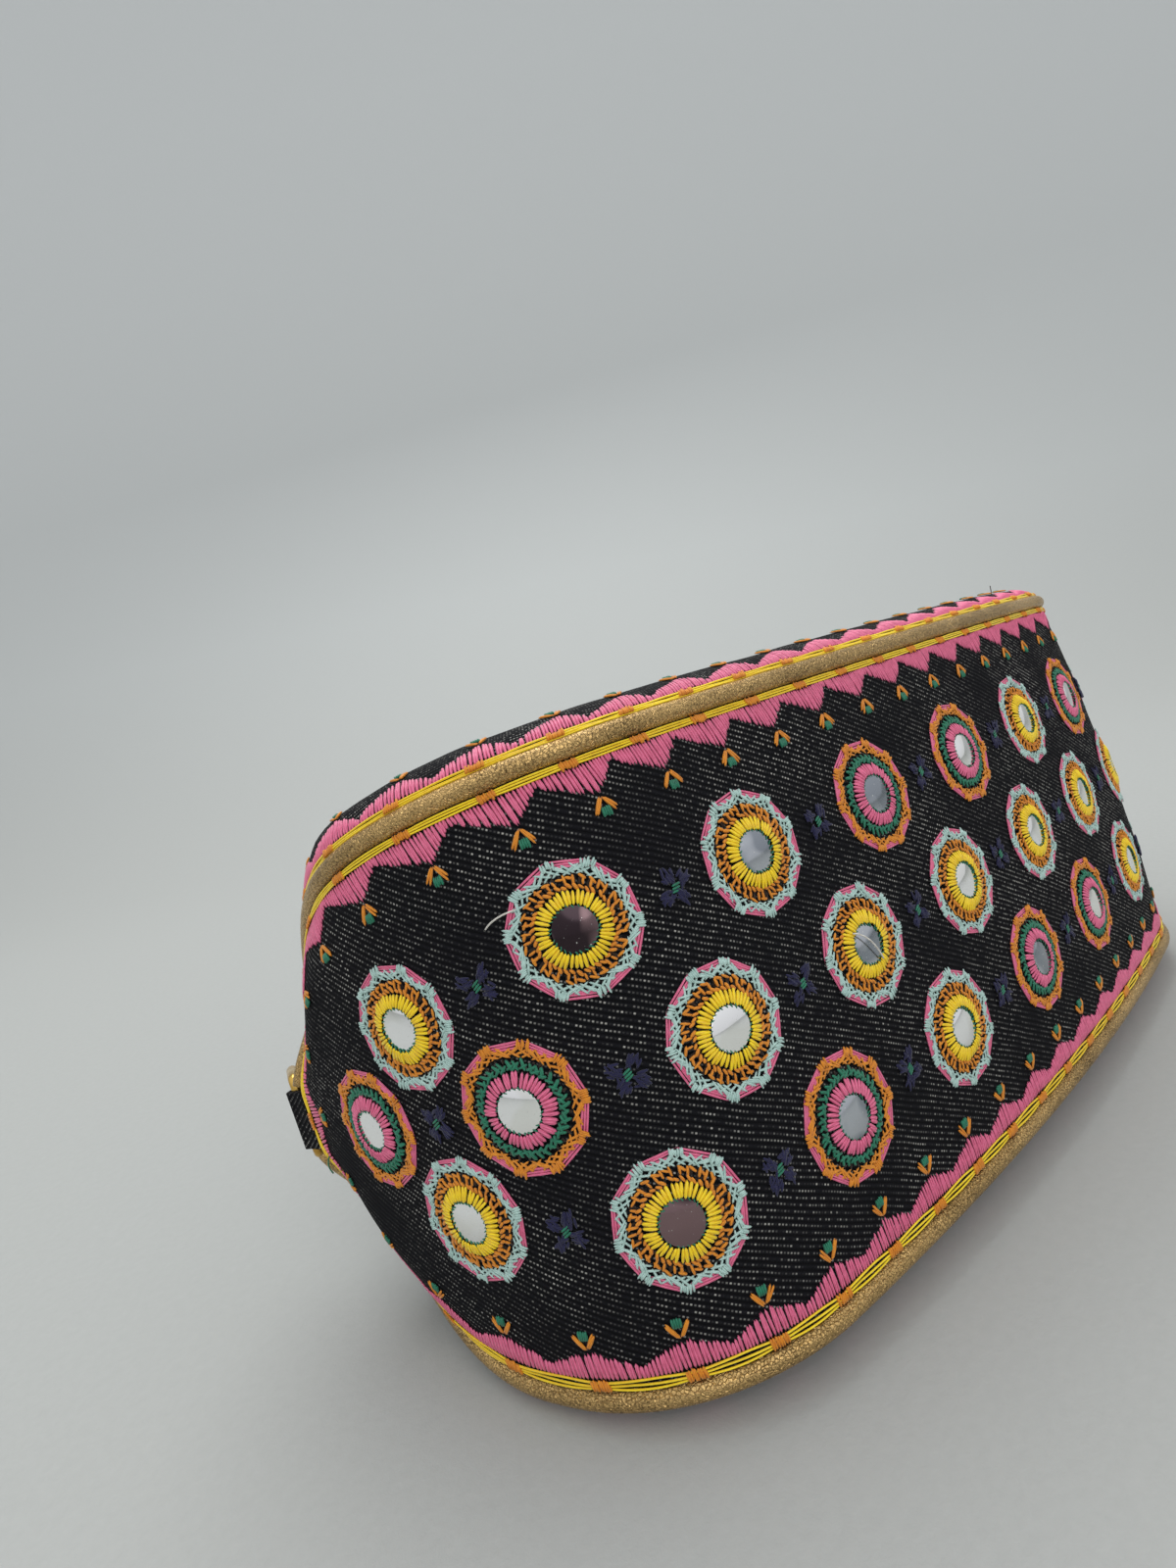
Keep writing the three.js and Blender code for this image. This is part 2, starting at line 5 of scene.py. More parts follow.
import bpy
import numpy as np
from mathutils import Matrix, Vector


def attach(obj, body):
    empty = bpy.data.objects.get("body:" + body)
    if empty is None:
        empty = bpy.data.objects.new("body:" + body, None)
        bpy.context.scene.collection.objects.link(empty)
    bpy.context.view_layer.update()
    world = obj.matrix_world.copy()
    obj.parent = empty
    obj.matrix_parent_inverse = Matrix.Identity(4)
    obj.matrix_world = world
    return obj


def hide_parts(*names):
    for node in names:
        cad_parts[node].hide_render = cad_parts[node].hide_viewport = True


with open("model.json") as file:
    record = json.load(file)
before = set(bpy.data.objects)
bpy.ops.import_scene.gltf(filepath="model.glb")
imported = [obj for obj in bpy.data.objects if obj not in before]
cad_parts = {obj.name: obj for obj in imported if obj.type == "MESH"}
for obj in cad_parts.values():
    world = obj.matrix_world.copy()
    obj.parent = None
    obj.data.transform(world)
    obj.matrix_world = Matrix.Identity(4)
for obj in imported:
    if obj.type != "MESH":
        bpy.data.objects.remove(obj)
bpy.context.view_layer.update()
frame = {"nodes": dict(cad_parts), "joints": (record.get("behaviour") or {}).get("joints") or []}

# A small denim bag with mirror embroidery, lying on its back. In the bag's own frame x runs along
# its length, y from the base of the gusset to the mouth, and z from the back to the front panel.
# All sizes are in metres and degrees.
MM = 0.001

# The bag's driving sizes, the same as the solids have
GUSSET_HALF_LENGTH = 206 * MM
GUSSET_HALF_WIDTH = 54.9 * MM
GUSSET_CROWN = 2.5 * MM
TIP_SQUARENESS = 6.5
CORNER_CURL = 8 * MM
CORNER_CURL_WIDTH = 18 * MM
CORNER_CURL_START = 150 * MM
CORNER_CURL_FULL = 200 * MM
CORNER_CURL_INNER = 5 * MM
CORNER_CURL_OUTER = 24 * MM
BASE_RADIUS = 730 * MM
BASE_HALF_LENGTH = 88.6 * MM
CORNER_RADIUS = 47.5 * MM
CORNER_TURN = 66.4
END_RADIUS = 139.6 * MM
CLOTH_THICKNESS = 2.2 * MM
MOUTH_HEIGHT = 107 * MM
MOUTH_HALF_WIDTH = 7 * MM
MOUTH_END_RISE = 3 * MM
MOUTH_END_INSET = 6 * MM
PANEL_BULGE = 8 * MM
FRONT_BULGE_RISE = 0.45
BACK_BULGE_RISE = 0.62
PANEL_FULLNESS = 4.5
SHOULDER_SHARPNESS = 0.8
LEAN_ANGLE = 12
SEAM_OVER_FLOOR = 11 * MM
PIPING_RADIUS = 2 * MM
PIPING_END_GAP = 1.2 * MM
SEAM_CLEARANCE = 0.4 * MM
LAYER_CLEARANCE = 0.35 * MM
BORDER_DEPTH = 9.4 * MM
TRIM_DEPTH = 2.1 * MM
MEDALLION_RADIUS = 12 * MM
MEDALLION_END_MARGIN = 33.1 * MM
MEDALLION_SHIFT = 2 * MM
MEDALLION_COLUMNS = 10
END_MEDALLION_GAP = 2.4 * MM
BORDER_CLEARANCE = 7.9 * MM
MIRROR_RADIUS = 4 * MM
MIRROR_THICKNESS = 0.9 * MM
MIRROR_TOP = 1.25 * MM
FLAP_HALF_LENGTH = 160 * MM
FLAP_REACH = 0.5
FLAP_CORNER_RISE = 0.16
FLAP_LIFT = 0.9 * MM
FLAP_ARCH_HEIGHT = 3 * MM
FLAP_ARCH_SHARE = 0.2
FLAP_ARCH_END = 4 / 5.5
FLAP_FACE_TOP = 0.985
FLAP_LENGTH = 92 * MM
TAB_WIDTH = 13 * MM
TAB_WALL = 1.3 * MM
TAB_HALF_ROOT = 0.85 * MM
RING_REACH = 4.4 * MM
RING_BAR_RADIUS = 1.3 * MM
RING_INNER_WIDTH = 14.8 * MM
RING_INNER_LENGTH = 12 * MM
RING_CORNER_RADIUS = 1.7 * MM
RING_RUNNING_GAP = 0.45 * MM
RING_REST_TURN = 20

# The border of satin teeth: how many lie on each side of the gusset, how much wider they are set
# round its corners, and where each part lies in from the seam
SIDE_TEETH = 28
CORNER_SPREAD = 11 * MM
BORDER_MIDDLE = 9 * MM
CORD_INSETS = (2.3 * MM, 2.65 * MM, 3.05 * MM)
LOWER_CORD_INSETS = (2.5 * MM, 3.0 * MM, 3.6 * MM)
CORD_THREAD_RADIUS = 0.21 * MM
SATIN_START = 3.15 * MM
LOWER_SATIN_START = 3.85 * MM
SATIN_VALLEY = 4.6 * MM
LOWER_SATIN_VALLEY = 6.2 * MM
SATIN_PEAK = 9.5 * MM
SATIN_STITCHES = 22
SATIN_SLANT = 1.5 * MM
LOWER_SATIN_SLANT = 0.35 * MM
MOTIF_APEX = 9.8 * MM
PANEL_BORDER_SHIFT = 0.3 * MM
TIP_BLEND = 30 * MM

# Where the photo was taken from, in the bag's frame, and the way the camera was turned
CAMERA_PLACE = (-204.4 * MM, -109.2 * MM, 44.8 * MM)
CAMERA_TURN = (81.746, 12.145, -43.138)
PHOTO_HEIGHT = 1600
FOCAL_PIXELS = 946.5

rng = random.Random(7)
noise = np.random.RandomState(11)


# Plain helpers

def deselect():
    bpy.ops.object.select_all(action="DESELECT")


def select_only(piece):
    deselect()
    piece.select_set(True)
    bpy.context.view_layer.objects.active = piece


def smooth_step(value, low, high):
    share = np.clip((value - low) / (high - low), 0, 1)
    return share * share * (3 - 2 * share)


def vertices_of(mesh):
    flat = np.zeros(len(mesh.vertices) * 3)
    mesh.vertices.foreach_get("co", flat)
    return flat.reshape(-1, 3)


def put_vertices(mesh, points):
    mesh.vertices.foreach_set("co", np.asarray(points, float).ravel())
    mesh.update()


def put_uv(mesh, pairs):
    """Gives each vertex its own place on the cloth, in metres."""
    layer = mesh.uv_layers[0] if mesh.uv_layers else mesh.uv_layers.new(name="Cloth")
    corners = np.zeros(len(mesh.loops), int)
    mesh.loops.foreach_get("vertex_index", corners)
    layer.data.foreach_set("uv", np.asarray(pairs, float)[corners].ravel())


def new_object(name, data):
    piece = bpy.data.objects.new(name, data)
    bpy.context.scene.collection.objects.link(piece)
    return piece


def finish_piece(piece, name, body):
    piece.name = name
    piece.data.name = name
    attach(piece, body)
    return piece


# The bag's form, by the same formulas as its solids

LEAN = math.radians(LEAN_ANGLE)
PATH_ARCS = (
    (BASE_RADIUS, BASE_HALF_LENGTH),
    (CORNER_RADIUS, CORNER_RADIUS * math.radians(CORNER_TURN)),
    (END_RADIUS, math.inf),
)


def path_at(run):
    """x, y and the turn of the gusset's middle line, by distance from the middle of the base."""
    left = np.abs(np.asarray(run, float))
    x = np.zeros_like(left)
    y = np.zeros_like(left)
    angle = np.zeros_like(left)
    for radius, length in PATH_ARCS:
        step = np.minimum(left, length)
        turned = angle + step / radius
        x = x + radius * (np.sin(turned) - np.sin(angle))
        y = y + radius * (np.cos(angle) - np.cos(turned))
        angle = turned
        left = left - step
    side = np.where(np.asarray(run) < 0, -1.0, 1.0)
    return side * x, y, side * angle


def corner_drop(run, across):
    """How far the gusset curls in towards the seam near the four corners of its outline."""
    run_share = np.abs(run / GUSSET_HALF_LENGTH)
    filled = run_share**TIP_SQUARENESS + (across / GUSSET_HALF_WIDTH) ** 2
    along_slope = TIP_SQUARENESS * run_share ** (TIP_SQUARENESS - 1) / GUSSET_HALF_LENGTH
    across_slope = 2 * np.abs(across) / GUSSET_HALF_WIDTH**2
    inset = np.maximum(0, (1 - filled) / np.maximum(np.hypot(along_slope, across_slope), 1e-6))
    near_end = smooth_step(np.abs(run), CORNER_CURL_START, CORNER_CURL_FULL)
    near_side = smooth_step(np.abs(across), CORNER_CURL_INNER, CORNER_CURL_OUTER)
    return CORNER_CURL * near_end * near_side * np.maximum(0, 1 - inset / CORNER_CURL_WIDTH) ** 2


def gusset_point(run, across, lift):
    x, y, angle = path_at(run)
    out = lift - GUSSET_CROWN * np.abs(across / GUSSET_HALF_WIDTH) ** 3 - corner_drop(run, across)
    x, y = x + out * np.sin(angle), y - out * np.cos(angle)
    return np.stack(np.broadcast_arrays(x, y, across), -1)


bar_x, bar_y, _ = (float(value) for value in path_at(GUSSET_HALF_LENGTH + RING_REACH))
left_hinge = next(joint for joint in frame["joints"] if joint["child"] == "ring_left")["pos_m"]
BAG_PLACE = np.array([
    left_hinge[0] + bar_x,
    left_hinge[1] - bar_y * math.cos(LEAN),
    left_hinge[2] + bar_y * math.sin(LEAN),
])


def to_row(points):
    """From the bag's own frame to the frame it lies in."""
    x, y, z = np.moveaxis(np.asarray(points, float), -1, 0)
    turned = np.stack([
        x,
        y * math.cos(LEAN) + z * math.sin(LEAN),
        z * math.cos(LEAN) - y * math.sin(LEAN),
    ], -1)
    return turned + BAG_PLACE


def outline_samples():
    """The gusset's seam from the left tip, over the front, the right tip and the back."""
    flat_share = 0.9
    tip_turn = math.asin(flat_share ** (TIP_SQUARENESS / 2))
    flat = np.arcsin(np.linspace(0, flat_share, 160) ** (TIP_SQUARENESS / 2))
    tip = np.linspace(tip_turn, math.pi / 2, 90)[1:]
    quarter = np.concatenate([flat, tip])
    half = np.concatenate([-quarter[::-1], quarter[1:]])
    loop = np.concatenate([half, math.pi + half[1:]])
    share = np.sign(np.sin(loop)) * np.abs(np.sin(loop)) ** (2 / TIP_SQUARENESS)
    return np.stack([share * GUSSET_HALF_LENGTH, np.cos(loop) * GUSSET_HALF_WIDTH], -1)


def lengths_along(points):
    steps = np.linalg.norm(np.diff(points, axis=0), axis=1)
    return np.concatenate([[0], np.cumsum(steps)])


SEAM = outline_samples()
tangent = np.gradient(SEAM, axis=0)
tangent[0] = tangent[-1] = (0, 1)
tangent /= np.linalg.norm(tangent, axis=1)[:, None]
SEAM_INWARD = np.stack([tangent[:, 1], -tangent[:, 0]], -1)
SEAM_LENGTHS = lengths_along(SEAM)
BORDER_LENGTHS = lengths_along(SEAM + SEAM_INWARD * BORDER_MIDDLE)
HALF_BORDER = BORDER_LENGTHS[-1] / 2
TOOTH_PITCH = (HALF_BORDER - 2 * CORNER_SPREAD) / SIDE_TEETH


def tooth_place(count):
    """Distance of a tooth along the border's middle, from the left tip; halves are valleys."""
    side, left = divmod(count, SIDE_TEETH)
    spread = smooth_step(left, 2, 6.5) + 1 - smooth_step(SIDE_TEETH - left, 2, 6.5)
    return side * HALF_BORDER + left * TOOTH_PITCH + CORNER_SPREAD * spread


def lower_share(along):
    """0 on the border's upper side, 1 on its lower side, with a soft change round each tip."""
    around = np.mod(along + HALF_BORDER / 2, 2 * HALF_BORDER) - HALF_BORDER / 2
    right = smooth_step(around, HALF_BORDER - TIP_BLEND, HALF_BORDER + TIP_BLEND)
    left = smooth_step(-around, -TIP_BLEND, TIP_BLEND)
    return np.maximum(right, left)


def border_place(along, inset):
    """run and across of a point at a distance along the border's middle and an inset from the seam."""
    around = np.mod(along, BORDER_LENGTHS[-1])
    run = np.interp(around, BORDER_LENGTHS, SEAM[:, 0])
    across = np.interp(around, BORDER_LENGTHS, SEAM[:, 1])
    inward = np.stack([np.interp(around, BORDER_LENGTHS, part) for part in SEAM_INWARD.T], -1)
    inward /= np.linalg.norm(inward, axis=-1)[..., None]
    return run + inset * inward[..., 0], across + inset * inward[..., 1]


def on_gusset_border(along, inset, lift):
    run, across = border_place(along, inset)
    return to_row(gusset_point(run, across, lift))


def on_gusset(run, across, lift):
    return to_row(gusset_point(run, across, lift))


HALF_SEAM = SEAM_LENGTHS[-1] / 2
tip_x, tip_y, _ = (float(value) for value in path_at(GUSSET_HALF_LENGTH))
MOUTH_HALF_LENGTH = tip_x - MOUTH_END_INSET
MOUTH_END_HEIGHT = tip_y + MOUTH_END_RISE
FLOOR_LEVEL = -GUSSET_HALF_WIDTH * math.cos(LEAN) - SEAM_OVER_FLOOR


def panel_point(seam, rise, side):
    """A point of a panel: seam is the length from the left tip, and rise goes to the mouth."""
    run = np.interp(seam, SEAM_LENGTHS, SEAM[:, 0])
    across = np.interp(seam, SEAM_LENGTHS, SEAM[:, 1])
    root = gusset_point(run, across, 0 * run)
    share = run / GUSSET_HALF_LENGTH
    mouth_x = MOUTH_HALF_LENGTH * share
    mouth_y = MOUTH_END_HEIGHT + (MOUTH_HEIGHT - MOUTH_END_HEIGHT) * (1 - share**2)
    x = root[..., 0] + (mouth_x - root[..., 0]) * rise
    y = root[..., 1] + (mouth_y - root[..., 1]) * rise
    length = np.hypot(root[..., 0] - mouth_x, root[..., 1] - mouth_y)
    full = np.maximum(1 - rise**PANEL_FULLNESS, 0) ** SHOULDER_SHARPNESS
    bulge = PANEL_BULGE * np.minimum(1, 2 * length / MOUTH_HEIGHT)
    bulge = bulge * np.sin(math.pi * rise ** (BACK_BULGE_RISE if side < 0 else FRONT_BULGE_RISE))
    z = MOUTH_HALF_WIDTH + (across - MOUTH_HALF_WIDTH) * full + bulge
    return np.stack([x, y, side * z], -1)


def panel_normal(seam, rise, side):
    rise_step = 0.004
    low = np.maximum(rise - rise_step, 0.001)
    high = np.minimum(rise + rise_step, 1)
    before = np.maximum(seam - 1 * MM, 0)
    after = np.minimum(seam + 1 * MM, HALF_SEAM)
    up = panel_point(seam, high, side) - panel_point(seam, low, side)
    over = panel_point(after, rise, side) - panel_point(before, rise, side)
    normal = np.cross(over, up)
    normal /= np.maximum(np.linalg.norm(normal, axis=-1), 1e-12)[..., None]
    return normal * np.where(normal[..., 2] * side < -0.4, -1, 1)[..., None]


def rise_table(side):
    """For places along the seam, the rise at which the cloth has run a given distance from it."""
    seams = np.linspace(0, HALF_SEAM, 241)
    rises = np.linspace(0, 1, 400) ** 1.6
    points = panel_point(seams[:, None], rises[None, :], side)
    steps = np.linalg.norm(np.diff(points, axis=1), axis=-1)
    travelled = np.concatenate([np.zeros((len(seams), 1)), np.cumsum(steps, axis=1)], 1)
    insets = np.linspace(0, 40 * MM, 161)
    return insets, np.array([np.interp(insets, row, rises) for row in travelled])


RISE_TABLES = {1: rise_table(1), -1: rise_table(-1)}


def rise_at(seam, inset, side):
    insets, table = RISE_TABLES[side]
    column = np.clip(seam / HALF_SEAM, 0, 1) * (len(table) - 1)
    row = np.clip(inset / insets[-1], 0, 1) * (len(insets) - 1)
    i = np.minimum(column.astype(int), len(table) - 2)
    j = np.minimum(row.astype(int), len(insets) - 2)
    a = column - i
    b = row - j
    low = table[i, j] * (1 - b) + table[i, j + 1] * b
    high = table[i + 1, j] * (1 - b) + table[i + 1, j + 1] * b
    return low * (1 - a) + high * a


def panel_surface(seam, rise, side, lift):
    seam = np.asarray(seam, float)
    rise = np.asarray(rise, float)
    normal = panel_normal(seam, rise, side)
    point = panel_point(seam, rise, side) + normal * np.asarray(lift)[..., None]
    if side < 0:
        border = rise_at(seam, np.full_like(seam, BORDER_DEPTH), side)
        held = 1 - smooth_step(rise, border, 2 * border)
        level = np.maximum(FLOOR_LEVEL + TRIM_DEPTH * held - lift, FLOOR_LEVEL)
        height = point[..., 2] * math.cos(LEAN) - point[..., 1] * math.sin(LEAN)
        lack = np.maximum(0, level - height)
        point = point + lack[..., None] * np.array([0, -math.sin(LEAN), math.cos(LEAN)])
    return point


def on_panel_border(side):
    """Lays a border along a panel's seam; along is the same distance as on the gusset."""
    def place(along, inset, lift):
        seam = np.interp(along, BORDER_LENGTHS, SEAM_LENGTHS)
        rise = rise_at(seam, np.maximum(inset - PANEL_BORDER_SHIFT, PIPING_RADIUS), side)
        return to_row(panel_surface(seam, rise, side, lift))
    return place


# Finishes

def linear(red, green, blue):
    """A colour as it is read on a screen, 0 to 255, as Blender's linear one."""
    shares = [value / 255 for value in (red, green, blue)]
    return tuple(s / 12.92 if s <= 0.04045 else ((s + 0.055) / 1.055) ** 2.4 for s in shares) + (1,)


SHADER_INPUTS = {
    "colour": "Base Color",
    "roughness": "Roughness",
    "metallic": "Metallic",
    "specular": "Specular IOR Level",
    "sheen": "Sheen Weight",
}


class Nodes:
    """A material's node tree, with short ways to add and join its nodes."""

    def __init__(self, name):
        self.material = bpy.data.materials.new(name)
        self.material.use_nodes = True
        self.tree = self.material.node_tree
        self.shader = self.tree.nodes["Principled BSDF"]

    def add(self, kind, **settings):
        node = self.tree.nodes.new(kind)
        for key, value in settings.items():
            setattr(node, key, value)
        return node

    def join(self, source, target):
        self.tree.links.new(source, target)

    def put(self, socket, value):
        if isinstance(value, (int, float, tuple)):
            socket.default_value = value
        else:
            self.join(value, socket)

    def dress(self, **inputs):
        """Puts a value or a link into each named input of the shader, and gives the material."""
        for name, value in inputs.items():
            self.put(self.shader.inputs[SHADER_INPUTS[name]], value)
        return self.material

    def math(self, operation, *values):
        node = self.add("ShaderNodeMath", operation=operation)
        for socket, value in zip(node.inputs, values):
            self.put(socket, value)
        return node.outputs[0]

    def blend(self, first, weight, second, other_weight):
        """first x weight + second x other_weight"""
        return self.math("ADD", self.math("MULTIPLY", first, weight),
                         self.math("MULTIPLY", second, other_weight))

    def mix(self, share, first, second):
        node = self.add("ShaderNodeMix", data_type="RGBA")
        for index, value in ((0, share), (6, first), (7, second)):
            self.put(node.inputs[index], value)
        return node.outputs[2]

    def parts(self, vector):
        node = self.add("ShaderNodeSeparateXYZ")
        self.join(vector, node.inputs[0])
        return node.outputs

    def noise(self, vector, scale, detail=2.0, roughness=0.5):
        node = self.add("ShaderNodeTexNoise")
        node.inputs["Scale"].default_value = scale
        node.inputs["Detail"].default_value = detail
        node.inputs["Roughness"].default_value = roughness
        self.join(vector, node.inputs["Vector"])
        return node.outputs["Fac"]

    def ramp(self, source, low, high):
        """Clamped map of low..high to 0..1."""
        node = self.add("ShaderNodeMapRange")
        node.inputs["From Min"].default_value = low
        node.inputs["From Max"].default_value = high
        self.join(source, node.inputs["Value"])
        return node.outputs["Result"]

    def bump(self, height, strength, distance):
        node = self.add("ShaderNodeBump")
        node.inputs["Strength"].default_value = strength
        node.inputs["Distance"].default_value = distance
        self.join(height, node.inputs["Height"])
        self.join(node.outputs[0], self.shader.inputs["Normal"])

    def coordinates(self, kind):
        return self.add("ShaderNodeTexCoord").outputs[kind]


def denim_finish():
    """Black twill: fine ribs at a slant, with flecks of white weft in a broken row beside each rib."""
    rib_pitch = 1.12 * MM
    fleck_pitch = 0.72 * MM
    slant = math.radians(-30)
    n = Nodes("black_twill_denim")
    place = n.coordinates("UV")
    x, y, _ = n.parts(place)
    along = n.blend(x, math.cos(slant), y, math.sin(slant))
    over = n.blend(y, math.cos(slant), x, -math.sin(slant))
    sway = n.noise(place, 90, 1.0)
    rib = n.math("ADD", n.math("DIVIDE", over, rib_pitch), n.math("MULTIPLY", sway, 0.5))
    row = n.math("FLOOR", rib)
    stagger = n.math("MULTIPLY", row, 0.37)
    beat = n.math("ADD", n.math("DIVIDE", along, fleck_pitch), stagger)
    cell = n.add("ShaderNodeCombineXYZ")
    n.join(row, cell.inputs[0])
    n.join(n.math("FLOOR", beat), cell.inputs[1])
    chance = n.add("ShaderNodeTexWhiteNoise", noise_dimensions="2D")
    n.join(cell.outputs[0], chance.inputs["Vector"])
    across_rib = n.math("ABSOLUTE", n.math("SUBTRACT", n.math("FRACT", rib), 0.5))
    along_fleck = n.math("ABSOLUTE", n.math("SUBTRACT", n.math("FRACT", beat), 0.5))
    narrow = n.math("SUBTRACT", 1.0, n.ramp(across_rib, 0.06, 0.2))
    short = n.math("SUBTRACT", 1.0, n.ramp(along_fleck, 0.16, 0.34))
    worn = n.ramp(n.noise(place, 42, 3.0), 0.32, 0.62)
    bright = n.math("POWER", chance.outputs["Value"], 1.7)
    fleck = n.math("MULTIPLY", n.math("MULTIPLY", narrow, short), n.math("MULTIPLY", bright, worn))
    fuzz = n.noise(place, 1800, 3.0, 0.7)
    ground = n.mix(fuzz, linear(7, 7, 10), linear(31, 31, 35))
    # The grooves between the ribs are darkened to near black: painted shade in the twill grooves.
    ribs_and_groove_shade = n.mix(n.ramp(across_rib, 0.1, 0.5), ground, linear(7, 7, 9))
    wave = n.math("SUBTRACT", 1.0, n.math("MULTIPLY", across_rib, 2.0))
    n.bump(n.math("ADD", wave, n.blend(fuzz, 0.6, fleck, 0.5)), 0.55, 0.25 * MM)
    return n.dress(colour=n.mix(fleck, ribs_and_groove_shade, linear(190, 188, 180)), roughness=0.92, specular=0.12)


def lining_finish():
    n = Nodes("black_cotton_lining")
    weave = n.noise(n.coordinates("UV"), 2400, 2.0)
    n.bump(weave, 0.3, 0.1 * MM)
    return n.dress(colour=n.mix(weave, linear(20, 20, 22), linear(38, 38, 40)), roughness=0.95)


def thread_finish(name, dark, light, roughness):
    """Twisted embroidery thread: fine plies run at a slant along each stitch."""
    n = Nodes(name)
    x, y, _ = n.parts(n.coordinates("UV"))
    twist = n.blend(x, 5.0, y, 2.0)
    ply = n.math("ABSOLUTE", n.math("SUBTRACT", n.math("FRACT", twist), 0.5))
    shade = n.blend(ply, 0.9, n.noise(n.coordinates("Object"), 900, 2.0), 0.55)
    n.bump(ply, 0.35, 0.1 * MM)
    # The dark and light tones are the thread's painted shade and painted highlight: dark in the
    # grooves between plies, light on their crests, broken up by random tone from the noise.
    colour = n.mix(n.ramp(shade, 0.1, 0.75), dark, light)
    return n.dress(colour=colour, roughness=roughness, sheen=0.15)


def gold_leather_finish():
    """Gold foil on grained leather: crackled, with duller bronze where the foil is rubbed."""
    n = Nodes("gold_leather")
    spot = n.coordinates("Object")
    grain = n.add("ShaderNodeTexVoronoi", feature="DISTANCE_TO_EDGE")
    grain.inputs["Scale"].default_value = 1500
    n.join(spot, grain.inputs["Vector"])
    fine = n.noise(spot, 2600, 3.0, 0.65)
    wide = n.noise(spot, 60, 2.0)
    rubbed = n.ramp(n.blend(fine, 0.7, wide, 0.25), 0.4, 0.62)
    height = n.math("ADD", n.ramp(grain.outputs["Distance"], 0.0, 0.12), fine)
    n.bump(height, 0.8, 0.14 * MM)
    return n.dress(colour=n.mix(rubbed, linear(208, 172, 112), linear(80, 62, 36)),
                   roughness=n.math("ADD", 0.2, n.math("MULTIPLY", rubbed, 0.25)), metallic=0.9)


def mirror_finish(name, colour, patch, roughness):
    """A small glass mirror: colour is its base tone and patch a second tone, mixed in soft noise
    patches. On the grey and dark mirrors both tones are a painted reflection, on the clear one plain
    silver; small pale specks lie over it.
    """
    n = Nodes(name)
    spot = n.coordinates("Object")
    cloud = n.ramp(n.noise(spot, 130, 1.0), 0.46, 0.56)
    speck = n.ramp(n.noise(spot, 2100, 1.0), 0.72, 0.76)
    reflection_tones = n.mix(cloud, colour, patch)
    colour = n.mix(speck, reflection_tones, linear(226, 226, 222))
    return n.dress(colour=colour, metallic=1, roughness=roughness)


def brass_finish():
    n = Nodes("polished_brass")
    spot = n.coordinates("Object")
    tarnish = n.ramp(n.noise(spot, 260, 3.0), 0.35, 0.75)
    metal = n.mix(tarnish, linear(226, 186, 96), linear(176, 132, 62))
    n.bump(n.noise(spot, 1500, 2.0), 0.08, 0.1 * MM)
    roughness = n.math("ADD", 0.16, n.math("MULTIPLY", tarnish, 0.2))
    return n.dress(colour=metal, metallic=1, roughness=roughness)


def steel_finish():
    n = Nodes("plated_steel")
    scratch = n.noise(n.coordinates("Object"), 900, 3.0)
    metal = n.mix(scratch, linear(176, 178, 182), linear(206, 208, 212))
    n.bump(scratch, 0.05, 0.1 * MM)
    return n.dress(colour=metal, metallic=1, roughness=0.35)


DENIM = denim_finish()
LINING = lining_finish()
GOLD_LEATHER = gold_leather_finish()
BRASS = brass_finish()
STEEL = steel_finish()
# Each thread's dark and light tones are its painted shade and painted highlight, which thread_finish
# lays along the plies.
THREADS = {
    colour: thread_finish(f"{colour}_thread", linear(*dark), linear(*light), roughness)
    for colour, dark, light, roughness in (
        ("pink", (176, 62, 98), (242, 120, 158), 0.5),
        ("yellow", (218, 164, 4), (255, 228, 16), 0.45),
        ("orange", (176, 92, 6), (236, 152, 22), 0.6),
        ("mint", (122, 156, 148), (196, 224, 216), 0.65),
        ("green", (4, 70, 50), (20, 132, 98), 0.55),
        ("navy", (8, 8, 32), (24, 23, 70), 0.85),
        # brown also darkens the gaps in the medallions' chain rings, painted shade there, and colours
        # a stray thread end.
        ("brown", (14, 9, 5), (54, 32, 10), 0.8),
        ("cream", (170, 166, 156), (226, 222, 212), 0.7),
    )
}
THREAD_NAMES = list(THREADS)


# Embroidery: one stitch is modelled once, and every other stitch is a copy of it laid on the cloth

def stitch_form():
    """A plump stitch along x, one unit long, wide and high each way, flat underneath."""
    deselect()
    bpy.ops.mesh.primitive_uv_sphere_add(segments=5, ring_count=4, radius=1,
                                         rotation=(0, math.pi / 2, 0))
    form = bpy.context.object
    bpy.ops.object.transform_apply(location=False, rotation=True, scale=False)
    points = vertices_of(form.data)
    around = np.hypot(points[:, 1], points[:, 2])
    fuller = np.where(around > 0.01, around ** -0.35, 1)
    points[:, 1:] *= fuller[:, None]
    points[:, 2] = np.maximum(points[:, 2], -0.45)
    put_vertices(form.data, points)
    mesh = form.data
    faces = [tuple(face.vertices) for face in mesh.polygons]
    uv = [tuple(corner.uv) for corner in mesh.uv_layers[0].data]
    bpy.data.objects.remove(form)
    return points, faces, np.array(uv)


STITCH_POINTS, STITCH_FACES, STITCH_UV = stitch_form()


def polar(radius, angle):
    return radius * math.cos(angle), radius * math.sin(angle)


class Stitches:
    """Stitches on flat cloth: two ends in metres, then width, height and lift at each end in mm."""

    def __init__(self):
        self.rows = []

    def add(self, colour, start, end, width, height, lift, end_lift=None):
        last_lift = lift if end_lift is None else end_lift
        sizes = (value * MM for value in (width, height, lift, last_lift))
        self.rows.append((*start, *end, *sizes, THREAD_NAMES.index(colour)))

    def moved(self, run, across, turn, wobble=0.0):
        """The same stitches turned and set down at a place, each a little off by hand."""
        rows = np.array(self.rows)
        c, s = math.cos(turn), math.sin(turn)
        other = Stitches()
        for k in (0, 2):
            x, y = rows[:, k].copy(), rows[:, k + 1].copy()
            rows[:, k] = run + x * c - y * s
            rows[:, k + 1] = across + x * s + y * c
        rows[:, :4] += noise.uniform(-wobble, wobble, (len(rows), 4))
        other.rows = [tuple(row) for row in rows]
        return other


